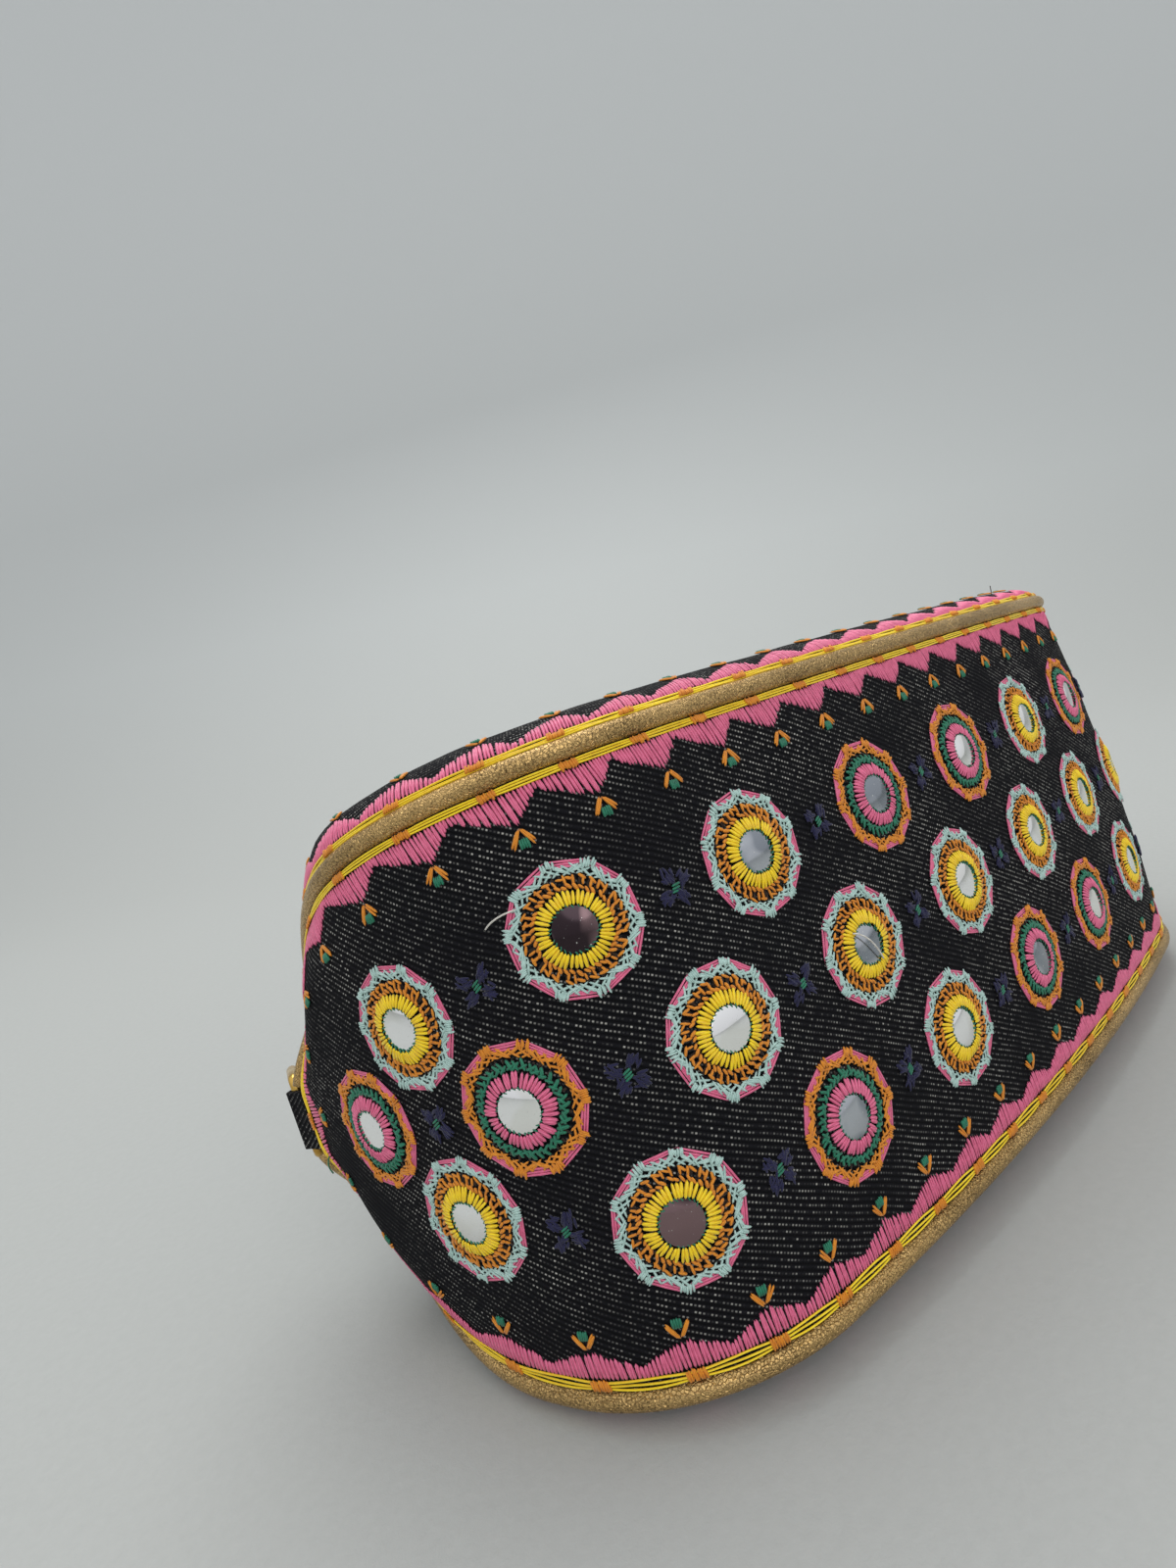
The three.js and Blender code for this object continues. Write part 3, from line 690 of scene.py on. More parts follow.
def lay_stitches(name, stitches, surface, replaced=()):
    """Makes one mesh of all the stitches, laid on the cloth by surface(along, over, lift)."""
    rows = np.array(stitches.rows)
    start, end = rows[:, 0:2], rows[:, 2:4]
    middle = (start + end) / 2
    half = (end - start) / 2
    length = np.maximum(np.linalg.norm(half, axis=1), 1e-9)
    side = np.stack([-half[:, 1], half[:, 0]], -1) / length[:, None]
    a, b, c = (STITCH_POINTS[:, i][None, :] for i in range(3))
    flat = middle[:, None, :] + a[..., None] * half[:, None, :]
    flat = flat + (b * rows[:, 4:5] / 2)[..., None] * side[:, None, :]
    lift = rows[:, 6:7] * (1 - a) / 2 + rows[:, 7:8] * (1 + a) / 2 + c * rows[:, 5:6] / 2
    points = surface(flat[..., 0].ravel(), flat[..., 1].ravel(), lift.ravel())
    count = len(STITCH_POINTS)
    faces = [tuple(k + i * count for k in face) for i in range(len(rows)) for face in STITCH_FACES]
    mesh = bpy.data.meshes.new(name)
    mesh.from_pydata(points.tolist(), [], faces)
    used = sorted(set(int(k) for k in rows[:, 8]))
    for index in used:
        mesh.materials.append(THREADS[THREAD_NAMES[index]])
    slots = np.repeat([used.index(int(k)) for k in rows[:, 8]], len(STITCH_FACES))
    mesh.polygons.foreach_set("material_index", slots)
    mesh.polygons.foreach_set("use_smooth", np.ones(len(faces), bool))
    layer = mesh.uv_layers.new(name="Thread")
    layer.data.foreach_set("uv", np.tile(STITCH_UV, (len(rows), 1)).ravel())
    mesh.validate()
    mesh.update()
    piece = new_object(name, mesh)
    face_outwards(piece)
    finish_piece(piece, name, "bag")
    if replaced:
        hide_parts(*replaced)
    return piece


def face_outwards(piece, merge=False):
    select_only(piece)
    bpy.ops.object.mode_set(mode="EDIT")
    bpy.ops.mesh.select_all(action="SELECT")
    if merge:
        bpy.ops.mesh.remove_doubles(threshold=0.00001)
    bpy.ops.mesh.normals_make_consistent(inside=False)
    bpy.ops.object.mode_set(mode="OBJECT")
    deselect()


def ring_stitches(work, colour, count, inner, outer, width, height, lift, end_lift, slant):
    """Radial stitches between two shares of a medallion's radius; slant turns their outer ends."""
    for i in range(count):
        angle = 2 * math.pi * (i + rng.uniform(-0.22, 0.22)) / count
        far = angle + slant * 2 * math.pi / count
        near_radius = inner * MEDALLION_RADIUS * rng.uniform(0.96, 1.03)
        far_radius = outer * MEDALLION_RADIUS * rng.uniform(0.96, 1.04)
        work.add(colour, polar(near_radius, angle), polar(far_radius, far),
                 width * rng.uniform(0.85, 1.15), height, lift, end_lift)


# The rings of a medallion: colour, count, inner and outer share of its radius, then width, height
# and the lift at each end in mm, and the slant
RIM = MIRROR_TOP / MM
# The low brown rings in each chain lie in the gaps under its raised stitches to darken them: painted
# shade in those gaps.
GREEN_CHAIN = (
    ("green", 38, 0.57, 0.73, 0.75, 0.6, 0.7, 0.5, 0.9),
    ("green", 38, 0.58, 0.67, 0.6, 0.6, 0.75, 0.7, -1.2),
    ("brown", 30, 0.66, 0.76, 0.5, 0.3, 0.2, 0.2, 0),
)
ORANGE_CHAIN = (
    ("orange", 42, 0.555, 0.63, 0.7, 0.6, 0.75, 0.7, 1.0),
    ("brown", 34, 0.58, 0.75, 0.8, 0.3, 0.1, 0.1, 0),
    ("orange", 34, 0.61, 0.75, 0.55, 0.6, 0.6, 0.5, 0.2),
    ("orange", 26, 0.705, 0.745, 0.6, 0.5, 0.5, 0.5, 0.8),
)
LACE_LOBES = 10


def medallion(satin, chain, lace):
    """A mirror medallion: a satin ring over the mirror's edge, a chain ring, and lace with knots."""
    work = Stitches()
    radius = MEDALLION_RADIUS
    ring_stitches(work, "green", 26, 0.30, 0.36, 0.3, 0.3, RIM, RIM + 0.15, 0.7)
    ring_stitches(work, satin, 46, 0.335, 0.57, 0.78, 0.75, RIM + 0.2, 0.75, 0)
    for ring in chain:
        ring_stitches(work, *ring)
    for k in range(LACE_LOBES):
        angle = 2 * math.pi * k / LACE_LOBES
        after = 2 * math.pi * (k + 1) / LACE_LOBES
        for thread in (-1, 0, 1):
            reach = 0.955 * radius + thread * 0.48 * MM
            work.add("pink", polar(reach, angle), polar(reach, after), 0.5, 0.45, 0.25)
        for cross in range(8):
            turn = angle + (cross - 3.5) * 0.09 + rng.uniform(-0.03, 0.03)
            way = 0.13 * (1 if cross % 2 else -1)
            inner = radius * rng.uniform(0.74, 0.78)
            outer = radius * rng.uniform(0.88, 0.94)
            work.add(lace, polar(inner, turn - way), polar(outer, turn + way),
                     0.5, 0.45, 0.35 + 0.1 * (cross % 2))
        for leg in (-1, 1):
            for strand in range(3):
                outer = radius * (0.93 - 0.02 * strand)
                away = angle + leg * (0.27 + 0.02 * strand)
                work.add(lace, polar(outer, angle + leg * 0.06), polar(0.78 * radius, away),
                         0.5, 0.45, 0.55, 0.35)
        for tuft in range(7):
            turn = angle + (tuft - 3) * 0.03
            inner = radius * rng.uniform(0.84, 0.9)
            outer = radius * rng.uniform(0.985, 1.03)
            end = (outer * math.cos(turn + rng.uniform(-0.03, 0.03)), outer * math.sin(turn))
            work.add(lace, polar(inner, turn), end, 0.5, 0.55, 0.6, 0.45)
    return work


def flower():
    """A small navy flower of four loose petals round three green stitches."""
    work = Stitches()
    for petal in range(4):
        heading = math.pi / 4 + petal * math.pi / 2 + rng.uniform(-0.15, 0.15)
        reach = rng.uniform(2.1, 2.5) * MM
        centre = polar(reach, heading)
        for strand in range(15):
            turn = heading + rng.uniform(-0.7, 0.7)
            dx, dy = polar(rng.uniform(0.7, 1.25) * MM, turn)
            x = centre[0] + rng.uniform(-1, 1) * MM
            y = centre[1] + rng.uniform(-1, 1) * MM
            work.add("navy", (x - dx, y - dy), (x + dx, y + dy), 0.55, 0.5, 0.2 + 0.02 * strand)
    for shift in (-0.55 * MM, 0.0, 0.6 * MM):
        start = (-0.9 * MM, shift - 0.35 * MM)
        end = (0.9 * MM, shift + 0.35 * MM)
        work.add("green", start, end, 0.5, 0.5, 0.45)
    return work


def medallion_places():
    """(name, run, across) of every medallion, in three rows."""
    pitch = 2 * (GUSSET_HALF_LENGTH - MEDALLION_END_MARGIN) / (MEDALLION_COLUMNS - 1)
    row = GUSSET_HALF_WIDTH - BORDER_DEPTH - BORDER_CLEARANCE - MEDALLION_RADIUS
    end_row = math.sqrt((2 * MEDALLION_RADIUS + END_MEDALLION_GAP) ** 2 - (pitch / 2) ** 2)
    middle = (MEDALLION_COLUMNS - 1) / 2
    places = []
    for i in range(MEDALLION_COLUMNS):
        places.append((f"middle_{i}", (i - middle) * pitch + MEDALLION_SHIFT, 0.0))
    for i in range(MEDALLION_COLUMNS - 1):
        across = end_row if i in (0, MEDALLION_COLUMNS - 2) else row
        run = (i + 0.5 - middle) * pitch + MEDALLION_SHIFT
        places.append((f"front_{i}", run, across))
        places.append((f"back_{i}", run, -across))
    return places


PINK_MEDALLIONS = {"middle_0", "middle_1", "back_2", "front_3", "front_4", "back_4", "back_5",
                   "front_6", "middle_8"}
# The mirrors in these two sets carry a painted reflection in their colour: dark in the first set, grey
# in the second.
DARK_REFLECTION_MIRRORS = {"front_1", "back_1"}
GREY_REFLECTION_MIRRORS = {"front_2", "front_3", "middle_3", "back_2", "back_4"}


def make_medallions():
    pink = medallion("pink", GREEN_CHAIN, "orange")
    yellow = medallion("yellow", ORANGE_CHAIN, "mint")
    # The grey and dark finishes are painted reflection in the mirror's colour; the clear one is plain
    # silver.
    clear = mirror_finish("clear_mirror", linear(253, 253, 253), linear(244, 244, 240), 0.06)
    grey = mirror_finish("grey_mirror", linear(150, 156, 164), linear(190, 194, 200), 0.12)
    dark_reflection = mirror_finish("smoky_mirror", linear(58, 48, 52), linear(132, 108, 110), 0.14)
    for name, run, across in medallion_places():
        work = pink if name in PINK_MEDALLIONS else yellow
        turn = rng.uniform(0, 2 * math.pi)
        stitches = work.moved(run, across, turn, 0.1 * MM)
        lay_stitches(f"medallion_{name}", stitches, on_gusset)
        glass = dark_reflection if name in DARK_REFLECTION_MIRRORS else grey if name in GREY_REFLECTION_MIRRORS else clear
        make_mirror(name, run, across, glass)


def make_mirror(name, run, across, finish):
    """A round mirror with a ground edge, set under the satin ring."""
    deselect()
    bpy.ops.mesh.primitive_cylinder_add(vertices=28, radius=MIRROR_RADIUS, depth=MIRROR_THICKNESS)
    disc = bpy.context.object
    edge = disc.modifiers.new("Ground edge", "BEVEL")
    edge.width = 0.15 * MM
    edge.segments = 2
    bpy.ops.object.modifier_apply(modifier=edge.name)
    points = vertices_of(disc.data)
    lift = MIRROR_TOP - MIRROR_THICKNESS / 2 + points[:, 2]
    _, _, angle = path_at(run)
    centre = gusset_point(np.array(run), np.array(across), np.array(0.0))
    forward = np.array([math.cos(angle), math.sin(angle), 0])
    out = np.array([math.sin(angle), -math.cos(angle), 0])
    placed = centre + points[:, :1] * forward + lift[:, None] * out
    placed[:, 2] += points[:, 1]
    put_vertices(disc.data, to_row(placed))
    disc.data.materials.append(finish)
    face_outwards(disc)
    select_only(disc)
    bpy.ops.object.shade_smooth_by_angle(angle=math.radians(30))
    finish_piece(disc, f"glass_{name}", "bag")
    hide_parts(f"mirror_{name}")


def make_flowers():
    """Navy flowers stand midway between neighbours of each row."""
    places = {name: (run, across) for name, run, across in medallion_places()}
    work = Stitches()
    for row, gaps in (("middle", 1), ("front", 2), ("back", 2)):
        for i in range(MEDALLION_COLUMNS - gaps):
            run = (places[f"{row}_{i}"][0] + places[f"{row}_{i + 1}"][0]) / 2
            across = (places[f"{row}_{i}"][1] + places[f"{row}_{i + 1}"][1]) / 2
            work.rows += flower().moved(run, across, rng.uniform(-0.3, 0.3)).rows
    lay_stitches("navy_flowers", work, on_gusset)


# The border of satin teeth, couched cord and small sprigs

def tooth(count):
    """One tooth of the border, with the orange wrap at its foot and the sprig at its peak."""
    work = Stitches()
    low, peak, high = (float(tooth_place(count + shift)) for shift in (-0.5, 0, 0.5))
    lower = float(lower_share(peak))
    start_inset = SATIN_START + (LOWER_SATIN_START - SATIN_START) * lower
    valley = SATIN_VALLEY + (LOWER_SATIN_VALLEY - SATIN_VALLEY) * lower
    slant = SATIN_SLANT + (LOWER_SATIN_SLANT - SATIN_SLANT) * lower
    peak_share = 0.5 + 0.12 * (1 - lower)
    width = (high - low) / SATIN_STITCHES / MM * 1.05
    for i in range(SATIN_STITCHES):
        share = (i + 0.5) / SATIN_STITCHES
        crest = share / peak_share if share < peak_share else (1 - share) / (1 - peak_share)
        top = valley + (SATIN_PEAK - valley) * crest**0.85 + rng.uniform(-0.28, 0.28) * MM
        foot = low + share * (high - low) + rng.uniform(-0.12, 0.12) * MM
        lean = slant * (top - start_inset) / (SATIN_PEAK - start_inset)
        lean += rng.uniform(-0.25, 0.25) * MM
        work.add("pink", (foot, start_inset), (foot + lean, top), width, 0.6, 0.28, 0.15)
    outer = start_inset + 0.35 * MM
    for i in range(7):
        along = peak + (i - 3) * 0.5 * MM + rng.uniform(-0.12, 0.12) * MM
        start = (along - 0.2 * MM, 1.9 * MM + rng.uniform(-0.1, 0.15) * MM)
        end = (along + 0.2 * MM, outer + rng.uniform(-0.2, 0.35) * MM)
        work.add("orange", start, end, 0.66, 0.8, 0.7)
    apex = low + peak_share * (high - low) + slant
    for leg in (-1, 1):
        for strand in range(2):
            root = (apex + leg * 0.3 * MM * strand, MOTIF_APEX + rng.uniform(-0.2, 0.2) * MM)
            reach = (2.0 + 0.35 * strand + rng.uniform(-0.2, 0.2)) * MM
            rise = (3.2 - 0.5 * strand + rng.uniform(-0.3, 0.3)) * MM
            work.add("orange", root, (apex + leg * reach, MOTIF_APEX + rise), 0.62, 0.6, 0.35)
    for strand in range(4):
        shift = (strand - 1.5) * 0.4 * MM
        start = (apex + shift, MOTIF_APEX + (1.6 + 0.2 * rng.random()) * MM)
        end = (apex + shift * 1.2, MOTIF_APEX + (3.5 + 0.3 * rng.random()) * MM)
        work.add("green", start, end, 0.62, 0.8, 0.4)
    return work


def round_bar(name, points, radius, sides_detail, finish, closed=False):
    """A round thread, piping or rod through points, as a closed mesh with its own UV map."""
    data = bpy.data.curves.new(name, "CURVE")
    data.dimensions = "3D"
    line = data.splines.new("POLY")
    line.points.add(len(points) - 1)
    line.points.foreach_set("co", np.concatenate([points, np.ones((len(points), 1))], 1).ravel())
    line.use_cyclic_u = closed
    data.bevel_depth = radius
    data.bevel_resolution = sides_detail
    data.use_fill_caps = True
    piece = new_object(name, data)
    select_only(piece)
    bpy.ops.object.convert(target="MESH")
    piece = bpy.context.object
    piece.data.materials.clear()
    piece.data.materials.append(finish)
    if not piece.data.uv_layers:
        piece.data.uv_layers.new(name="Thread")
    face_outwards(piece, merge=True)
    select_only(piece)
    bpy.ops.object.shade_smooth()
    deselect()
    return piece


def join_pieces(pieces):
    deselect()
    for piece in pieces:
        piece.select_set(True)
    bpy.context.view_layer.objects.active = pieces[0]
    bpy.ops.object.join()
    return bpy.context.object


def make_border(name, first, last, surface, replaced_zigzag, replaced_cord):
    """Teeth first to last round the seam, and three couched threads beside them."""
    work = Stitches()
    for count in range(first, last):
        work.rows += tooth(count).rows
    lay_stitches(f"satin_border_{name}", work, surface, [replaced_zigzag])
    counts = np.linspace(first - 0.5, last - 0.5, (last - first) * 12 + 1)
    along = np.array([tooth_place(count) for count in counts])
    free = np.abs(np.sin(math.pi * counts))
    strands = []
    for i, (upper, lower) in enumerate(zip(CORD_INSETS, LOWER_CORD_INSETS)):
        inset = upper + (lower - upper) * lower_share(along)
        bow = (0.12 + 0.18 * lower_share(along)) * MM * (i - 1) * free
        lift = (0.35 + 0.25 * np.abs(np.sin(math.pi * counts + i))) * MM
        points = surface(along, inset + bow, lift)
        strand = f"cord_strand_{name}_{i}"
        strands.append(round_bar(strand, points, CORD_THREAD_RADIUS, 1, THREADS["yellow"]))
    cord = finish_piece(join_pieces(strands), f"couched_cord_{name}", "bag")
    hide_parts(replaced_cord)


def make_borders():
    make_border("gusset", 0, 2 * SIDE_TEETH, on_gusset_border, "zigzag_gusset", "cord_gusset")
    make_border("front", 2, SIDE_TEETH - 1, on_panel_border(1), "zigzag_front", "cord_front")
    make_border("back", 2, SIDE_TEETH - 1, on_panel_border(-1), "zigzag_back", "cord_back")


# Cloth

def cloth_piece(name, columns, rows, place, node, thickness=CLOTH_THICKNESS):
    """Cloth that replaces a solid: place(u, v) gives its points and its UV map in metres."""
    deselect()
    bpy.ops.mesh.primitive_grid_add(x_subdivisions=columns, y_subdivisions=rows, size=2)
    piece = bpy.context.object
    shares = (vertices_of(piece.data)[:, :2] + 1) / 2
    points, pattern = place(shares[:, 0], shares[:, 1])
    put_vertices(piece.data, to_row(points))
    put_uv(piece.data, pattern)
    piece.data.materials.append(DENIM)
    piece.data.materials.append(LINING)
    facing, centres = np.zeros((2, len(piece.data.polygons) * 3))
    piece.data.polygons.foreach_get("normal", facing)
    piece.data.polygons.foreach_get("center", centres)
    inside = to_row(np.array([0, 45 * MM, 0]))
    outward = (facing.reshape(-1, 3) * (centres.reshape(-1, 3) - inside)).sum()
    if outward < 0:
        piece.data.flip_normals()
    select_only(piece)
    wall = piece.modifiers.new("Wall", "SOLIDIFY")
    wall.thickness = thickness
    wall.offset = -1
    wall.material_offset = 1
    wall.material_offset_rim = 0
    bpy.ops.object.modifier_apply(modifier=wall.name)
    bpy.ops.object.shade_smooth_by_angle(angle=math.radians(50))
    finish_piece(piece, name, "bag")
    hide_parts(node)
    return piece


def puckers(x, y, size, seed):
    """Soft unevenness of cloth, a sum of a few slow waves."""
    waves = random.Random(seed)
    total = np.zeros_like(x)
    for _ in range(9):
        heading = waves.uniform(0, math.pi)
        length = waves.uniform(14, 42) * MM
        phase = waves.uniform(0, 2 * math.pi)
        total += np.sin(2 * math.pi * (x * math.cos(heading) + y * math.sin(heading)) / length + phase)
    return size * total / 3


def make_gusset():
    seam_gap = PIPING_RADIUS + SEAM_CLEARANCE / 2
    half_length = GUSSET_HALF_LENGTH - seam_gap
    half_width = GUSSET_HALF_WIDTH - seam_gap
    tip_share = (1 - ((TAB_WIDTH / 2 + SEAM_CLEARANCE) / half_width) ** 2) ** (1 / TIP_SQUARENESS)
    crowding = math.pi / 2 * 0.94

    def place(u, v):
        share = np.sin((2 * u - 1) * crowding) / math.sin(crowding) * tip_share
        run = share * half_length
        across = (2 * v - 1) * half_width * np.sqrt(1 - np.abs(share) ** TIP_SQUARENESS)
        lift = puckers(run, across, 0.12 * MM, 3)
        return gusset_point(run, across, lift), np.stack([run, across], -1)

    cloth_piece("gusset_cloth", 260, 60, place, "gusset")


def make_panel(name, side):
    marks = np.linspace(0, HALF_SEAM, 241)
    edges = rise_at(marks, np.full(241, PIPING_RADIUS + 2 * SEAM_CLEARANCE), side)
    end_inset = 4.5 * MM

    def place(u, v):
        seam = end_inset + u * (HALF_SEAM - 2 * end_inset)
        edge = np.interp(seam, marks, edges)
        rise = edge + (1 - edge) * v**1.25
        free = smooth_step(rise, edge, edge + 0.25) * smooth_step(1 - rise, 0, 0.1)
        lift = puckers(seam, rise * MOUTH_HEIGHT, 0.25 * MM, 5 + side) * free
        run = np.interp(seam, SEAM_LENGTHS, SEAM[:, 0])
        points = panel_surface(seam, rise, side, lift)
        return points, np.stack([run, points[:, 1] + np.abs(points[:, 2])], -1)

    cloth_piece(f"{name}_cloth", 170, 64, place, name)


def flap_point(run, share, lift):
    """A point over the flap: share runs from its back edge, over the arch, to its front edge."""
    front_half = len(SEAM) // 2 + 1
    seam = np.interp(run, SEAM[:front_half, 0], SEAM_LENGTHS[:front_half])
    raised = FLAP_LIFT + CLOTH_THICKNESS + lift
    back = panel_point(seam, np.ones_like(seam), -1)
    front = panel_surface(seam, np.full_like(seam, 0.9999), 1, raised)
    back_z = back[:, 2] - lift
    middle = (front[:, 2] + back_z) / 2
    half_width = (front[:, 2] - back_z) / 2
    angle = math.pi * (1 - np.minimum(share / FLAP_ARCH_SHARE, 1) * FLAP_ARCH_END)
    arch_y = back[:, 1] + LAYER_CLEARANCE + (FLAP_ARCH_HEIGHT + CLOTH_THICKNESS + lift) * np.sin(angle)
    arch = np.stack([back[:, 0], arch_y, middle + half_width * np.cos(angle)], -1)
    lowest = FLAP_REACH + FLAP_CORNER_RISE * np.abs(run / FLAP_HALF_LENGTH) ** 6
    down = np.clip((share - FLAP_ARCH_SHARE) / (1 - FLAP_ARCH_SHARE), 0, 1)
    face = panel_surface(seam, FLAP_FACE_TOP + (lowest - FLAP_FACE_TOP) * down, 1, raised)
    on_face = smooth_step(share, FLAP_ARCH_SHARE * 0.75, FLAP_ARCH_SHARE * 1.25)[:, None]
    return arch * (1 - on_face) + face * on_face


def make_flap():
    def place(u, v):
        run = (2 * u - 1) * FLAP_HALF_LENGTH
        return flap_point(run, v, np.zeros_like(run)), np.stack([run * 0.66, v * FLAP_LENGTH], -1)

    def on_flap(run, depth, lift):
        return to_row(flap_point(run, 1 - depth / FLAP_LENGTH, lift))

    cloth = cloth_piece("flap_cloth", 150, 60, place, "flap")
    hem = Stitches()
    for run in np.arange(-156, 157, 4.4) * MM:
        hem.add("navy", (run - 1.4 * MM, 4 * MM), (run + 1.4 * MM, 4 * MM), 0.7, 0.5, 0.2)
    seam = lay_stitches("flap_hem", hem, on_flap)


# Piping, tabs, rings and loose threads

def make_piping(name, side):
    tip = len(SEAM) // 4
    tip_reach = np.interp(TAB_WIDTH / 2 + PIPING_END_GAP, SEAM[:tip, 1], SEAM_LENGTHS[:tip])
    seam = np.linspace(tip_reach, HALF_SEAM - tip_reach, 460)
    run = np.interp(seam, SEAM_LENGTHS, SEAM[:, 0])
    across = np.interp(seam, SEAM_LENGTHS, SEAM[:, 1])
    points = to_row(gusset_point(run, side * across, 0 * run))
    piping = round_bar(f"leather_{name}", points, PIPING_RADIUS, 6, GOLD_LEATHER)
    finish_piece(piping, f"leather_{name}", "bag")
    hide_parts(name)


def mirrored(points, side):
    return points * np.array([side, 1, 1])


def make_tab(name, side):
    """A strip of denim folded round the ring's bar."""
    loop = RING_BAR_RADIUS + RING_RUNNING_GAP + 0.8 * MM
    root_x, root_y, _ = (float(value) for value in path_at(GUSSET_HALF_LENGTH - PIPING_RADIUS))
    up = [(root_x + TAB_HALF_ROOT, root_y), (bar_x + loop * 0.85, bar_y - loop * 0.75)]
    over = [(bar_x + loop * math.cos(turn), bar_y + loop * math.sin(turn))
            for turn in np.linspace(-0.3, math.pi + 0.3, 22)]
    down = [(bar_x - loop * 0.85, bar_y - loop * 0.75), (root_x - TAB_HALF_ROOT, root_y)]
    line = np.array(up + over + down)
    along = lengths_along(line)

    def place(u, v):
        x = np.interp(u * along[-1], along, line[:, 0])
        y = np.interp(u * along[-1], along, line[:, 1])
        z = (2 * v - 1) * TAB_WIDTH / 2
        return mirrored(np.stack([x, y, z], -1), side), np.stack([u * along[-1], z], -1)

    cloth_piece(f"strap_{name}", 46, 10, place, name, TAB_WALL)


def make_ring(name, side):
    """A rectangular brass ring of round rod."""
    half_width = RING_INNER_WIDTH / 2 + RING_BAR_RADIUS
    length = RING_INNER_LENGTH + 2 * RING_BAR_RADIUS
    corner = RING_CORNER_RADIUS
    turn = math.radians(RING_REST_TURN)
    points = []
    for index, (z_side, far) in enumerate(((-1, 0), (1, 0), (1, 1), (-1, 1))):
        z_centre = z_side * (half_width - corner)
        y_centre = length - corner if far else corner
        for share in np.linspace(0, 1, 9):
            angle = math.pi + math.pi / 2 * (index + share)
            reach = y_centre + corner * math.sin(angle)
            points.append((bar_x - reach * math.sin(turn), bar_y + reach * math.cos(turn),
                           z_centre + corner * math.cos(angle)))
    points = to_row(mirrored(np.array(points), side))
    ring = round_bar(f"brass_{name}", points, RING_BAR_RADIUS, 6, BRASS, closed=True)
    finish_piece(ring, f"brass_{name}", name)
    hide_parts(name)


def make_thread_ends():
    """Stray ends of thread: each bends from one mark to the next but one, in run, across and lift."""
    ends = (
        ("by_front_medallion", "cream", (-127.5, 30.5, 0.5), (-125, 32.2, 2.1), (-121.5, 32, 1.2)),
        ("on_middle_medallion", "cream", (-59.5, 3.6, 1.9), (-56, 2.2, 3.0), (-53.5, -3.8, 1.7)),
        ("by_left_piping", "green", (-201, -8, 0.4), (-203, -10, 1.8), (-204, -12.5, 2.6)),
    )
    for name, colour, *marks in ends:
        marks = np.array(marks) * MM
        share = np.linspace(0, 1, 13)[:, None]
        bend = (1 - share) ** 2 * marks[0] + 2 * share * (1 - share) * marks[1] + share**2 * marks[2]
        run, over, lift = bend.T
        name = f"thread_end_{name}"
        piece = round_bar(name, on_gusset(run, over, lift), 0.17 * MM, 1, THREADS[colour])
        finish_piece(piece, name, "bag")
    steps = np.linspace(0, 1, 7)
    along = HALF_BORDER - (92 + 3 * steps) * MM
    points = on_panel_border(1)(along, (9.5 + 1.5 * steps) * MM, 6 * steps**0.8 * MM)
    hair = round_bar("thread_end_on_front", points, 0.15 * MM, 1, THREADS["brown"])
    finish_piece(hair, "thread_end_on_front", "bag")


def dress_snap():
    for node in ("snap_base", "snap_cap"):
        piece = frame["nodes"][node]
        piece.data.materials.clear()
        piece.data.materials.append(STEEL)


def make_bag():
    make_gusset()
    make_panel("front_panel", 1)
    make_panel("back_panel", -1)
    make_flap()
    make_piping("piping_front", 1)
    make_piping("piping_back", -1)
    make_borders()
    make_medallions()
    make_flowers()
    for name, side in (("left", -1), ("right", 1)):
        make_tab(f"tab_{name}", side)
        make_ring(f"ring_{name}", side)
    make_thread_ends()
    dress_snap()


# Studio

def paper_finish():
    """Pale grey paper, lighter where it curves up and up the wall, where less light falls on it."""
    n = Nodes("grey_paper")
    spot = n.coordinates("Object")
    grain = n.noise(spot, 420, 4.0, 0.7)
    height = n.parts(spot)[2]
    floor = n.mix(grain, linear(169, 171, 168), linear(178, 180, 177))
    curve = n.mix(grain, linear(186, 189, 187), linear(192, 195, 193))
    wall = n.mix(grain, linear(214, 217, 216), linear(219, 222, 221))
    lifted = n.mix(n.ramp(height, 0.0, 0.25), floor, curve)
    n.bump(grain, 0.25, 0.6 * MM)
    colour = n.mix(n.ramp(height, 0.25, 1.3), lifted, wall)
    return n.dress(colour=colour, roughness=0.95, specular=0.1)


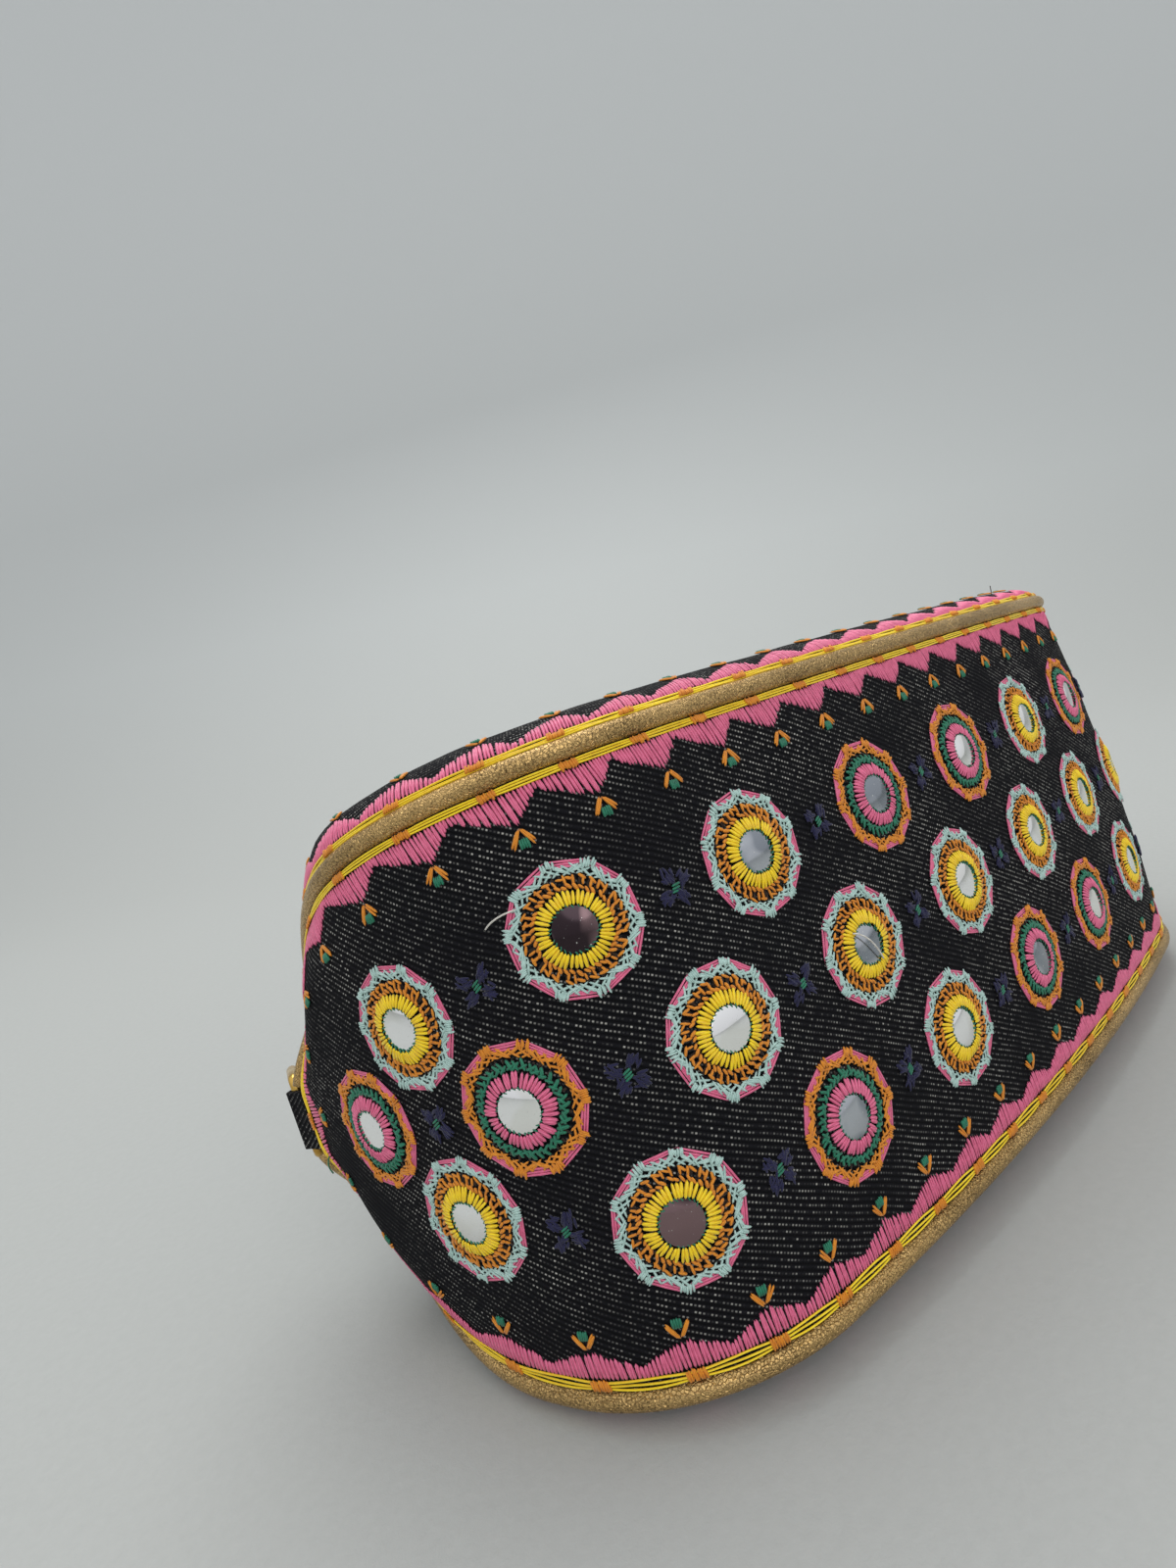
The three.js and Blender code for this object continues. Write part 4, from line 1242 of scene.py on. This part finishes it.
def make_sweep():
    """A paper sweep: the floor curves up gently into a wall, square to the camera's heading."""
    heading = math.radians(CAMERA_TURN[2])
    depth, half_width, radius, height = 0.5, 4.0, 1.3, 3.2
    line = [(-1.6, 0.0), (depth, 0.0)]
    for share in np.linspace(0, 1, 33)[1:]:
        angle = share * math.pi / 2
        line.append((depth + radius * math.sin(angle), radius * (1 - math.cos(angle))))
    line.append((depth + radius, height))
    points = []
    for far, up in line:
        for across in (-half_width, half_width):
            points.append((across * math.cos(heading) - far * math.sin(heading),
                           across * math.sin(heading) + far * math.cos(heading), up))
    faces = [(2 * i, 2 * i + 1, 2 * i + 3, 2 * i + 2) for i in range(len(line) - 1)]
    mesh = bpy.data.meshes.new("paper_sweep")
    mesh.from_pydata(points, [], faces)
    mesh.polygons.foreach_set("use_smooth", np.ones(len(faces), bool))
    mesh.materials.append(paper_finish())
    sweep = new_object("paper_sweep", mesh)


def add_lamp(name, place, target, size, power):
    data = bpy.data.lights.new(name, "AREA")
    data.shape = "DISK"
    data.size = size
    data.energy = power
    lamp = new_object(name, data)
    lamp.location = place
    lamp.rotation_euler = (Vector(place) - Vector(target)).to_track_quat("Z", "Y").to_euler()


def light_studio():
    world = bpy.data.worlds.new("studio")
    bpy.context.scene.world = world
    world.use_nodes = True
    tree = world.node_tree
    sky = tree.nodes["Background"]
    sky.inputs["Color"].default_value = linear(250, 252, 255)
    heading = tree.nodes.new("ShaderNodeTexCoord")
    parts = tree.nodes.new("ShaderNodeSeparateXYZ")
    tree.links.new(heading.outputs["Generated"], parts.inputs[0])
    glow = tree.nodes.new("ShaderNodeMapRange")
    glow.inputs["From Min"].default_value = -0.1
    glow.inputs["From Max"].default_value = 0.8
    glow.inputs["To Min"].default_value = 0.58
    glow.inputs["To Max"].default_value = 0.95
    tree.links.new(parts.outputs[2], glow.inputs["Value"])
    tree.links.new(glow.outputs["Result"], sky.inputs["Strength"])
    add_lamp("overhead_softbox", (0.3, 0.45, 1.15), (0, 0, 0.05), 1.1, 8.5)
    add_lamp("front_fill", (-0.5, -0.9, 0.7), (0, 0, 0.05), 0.9, 3)


def aim_camera():
    data = bpy.data.cameras.new("camera")
    data.sensor_fit = "VERTICAL"
    data.sensor_height = 36
    data.lens = FOCAL_PIXELS / PHOTO_HEIGHT * data.sensor_height
    data.clip_start = 0.01
    camera = new_object("camera", data)
    camera.location = to_row(np.array(CAMERA_PLACE))
    camera.rotation_euler = [math.radians(angle) for angle in CAMERA_TURN]
    bpy.context.scene.camera = camera


make_bag()
make_sweep()
light_studio()
aim_camera()
bpy.context.scene.view_settings.view_transform = "Standard"
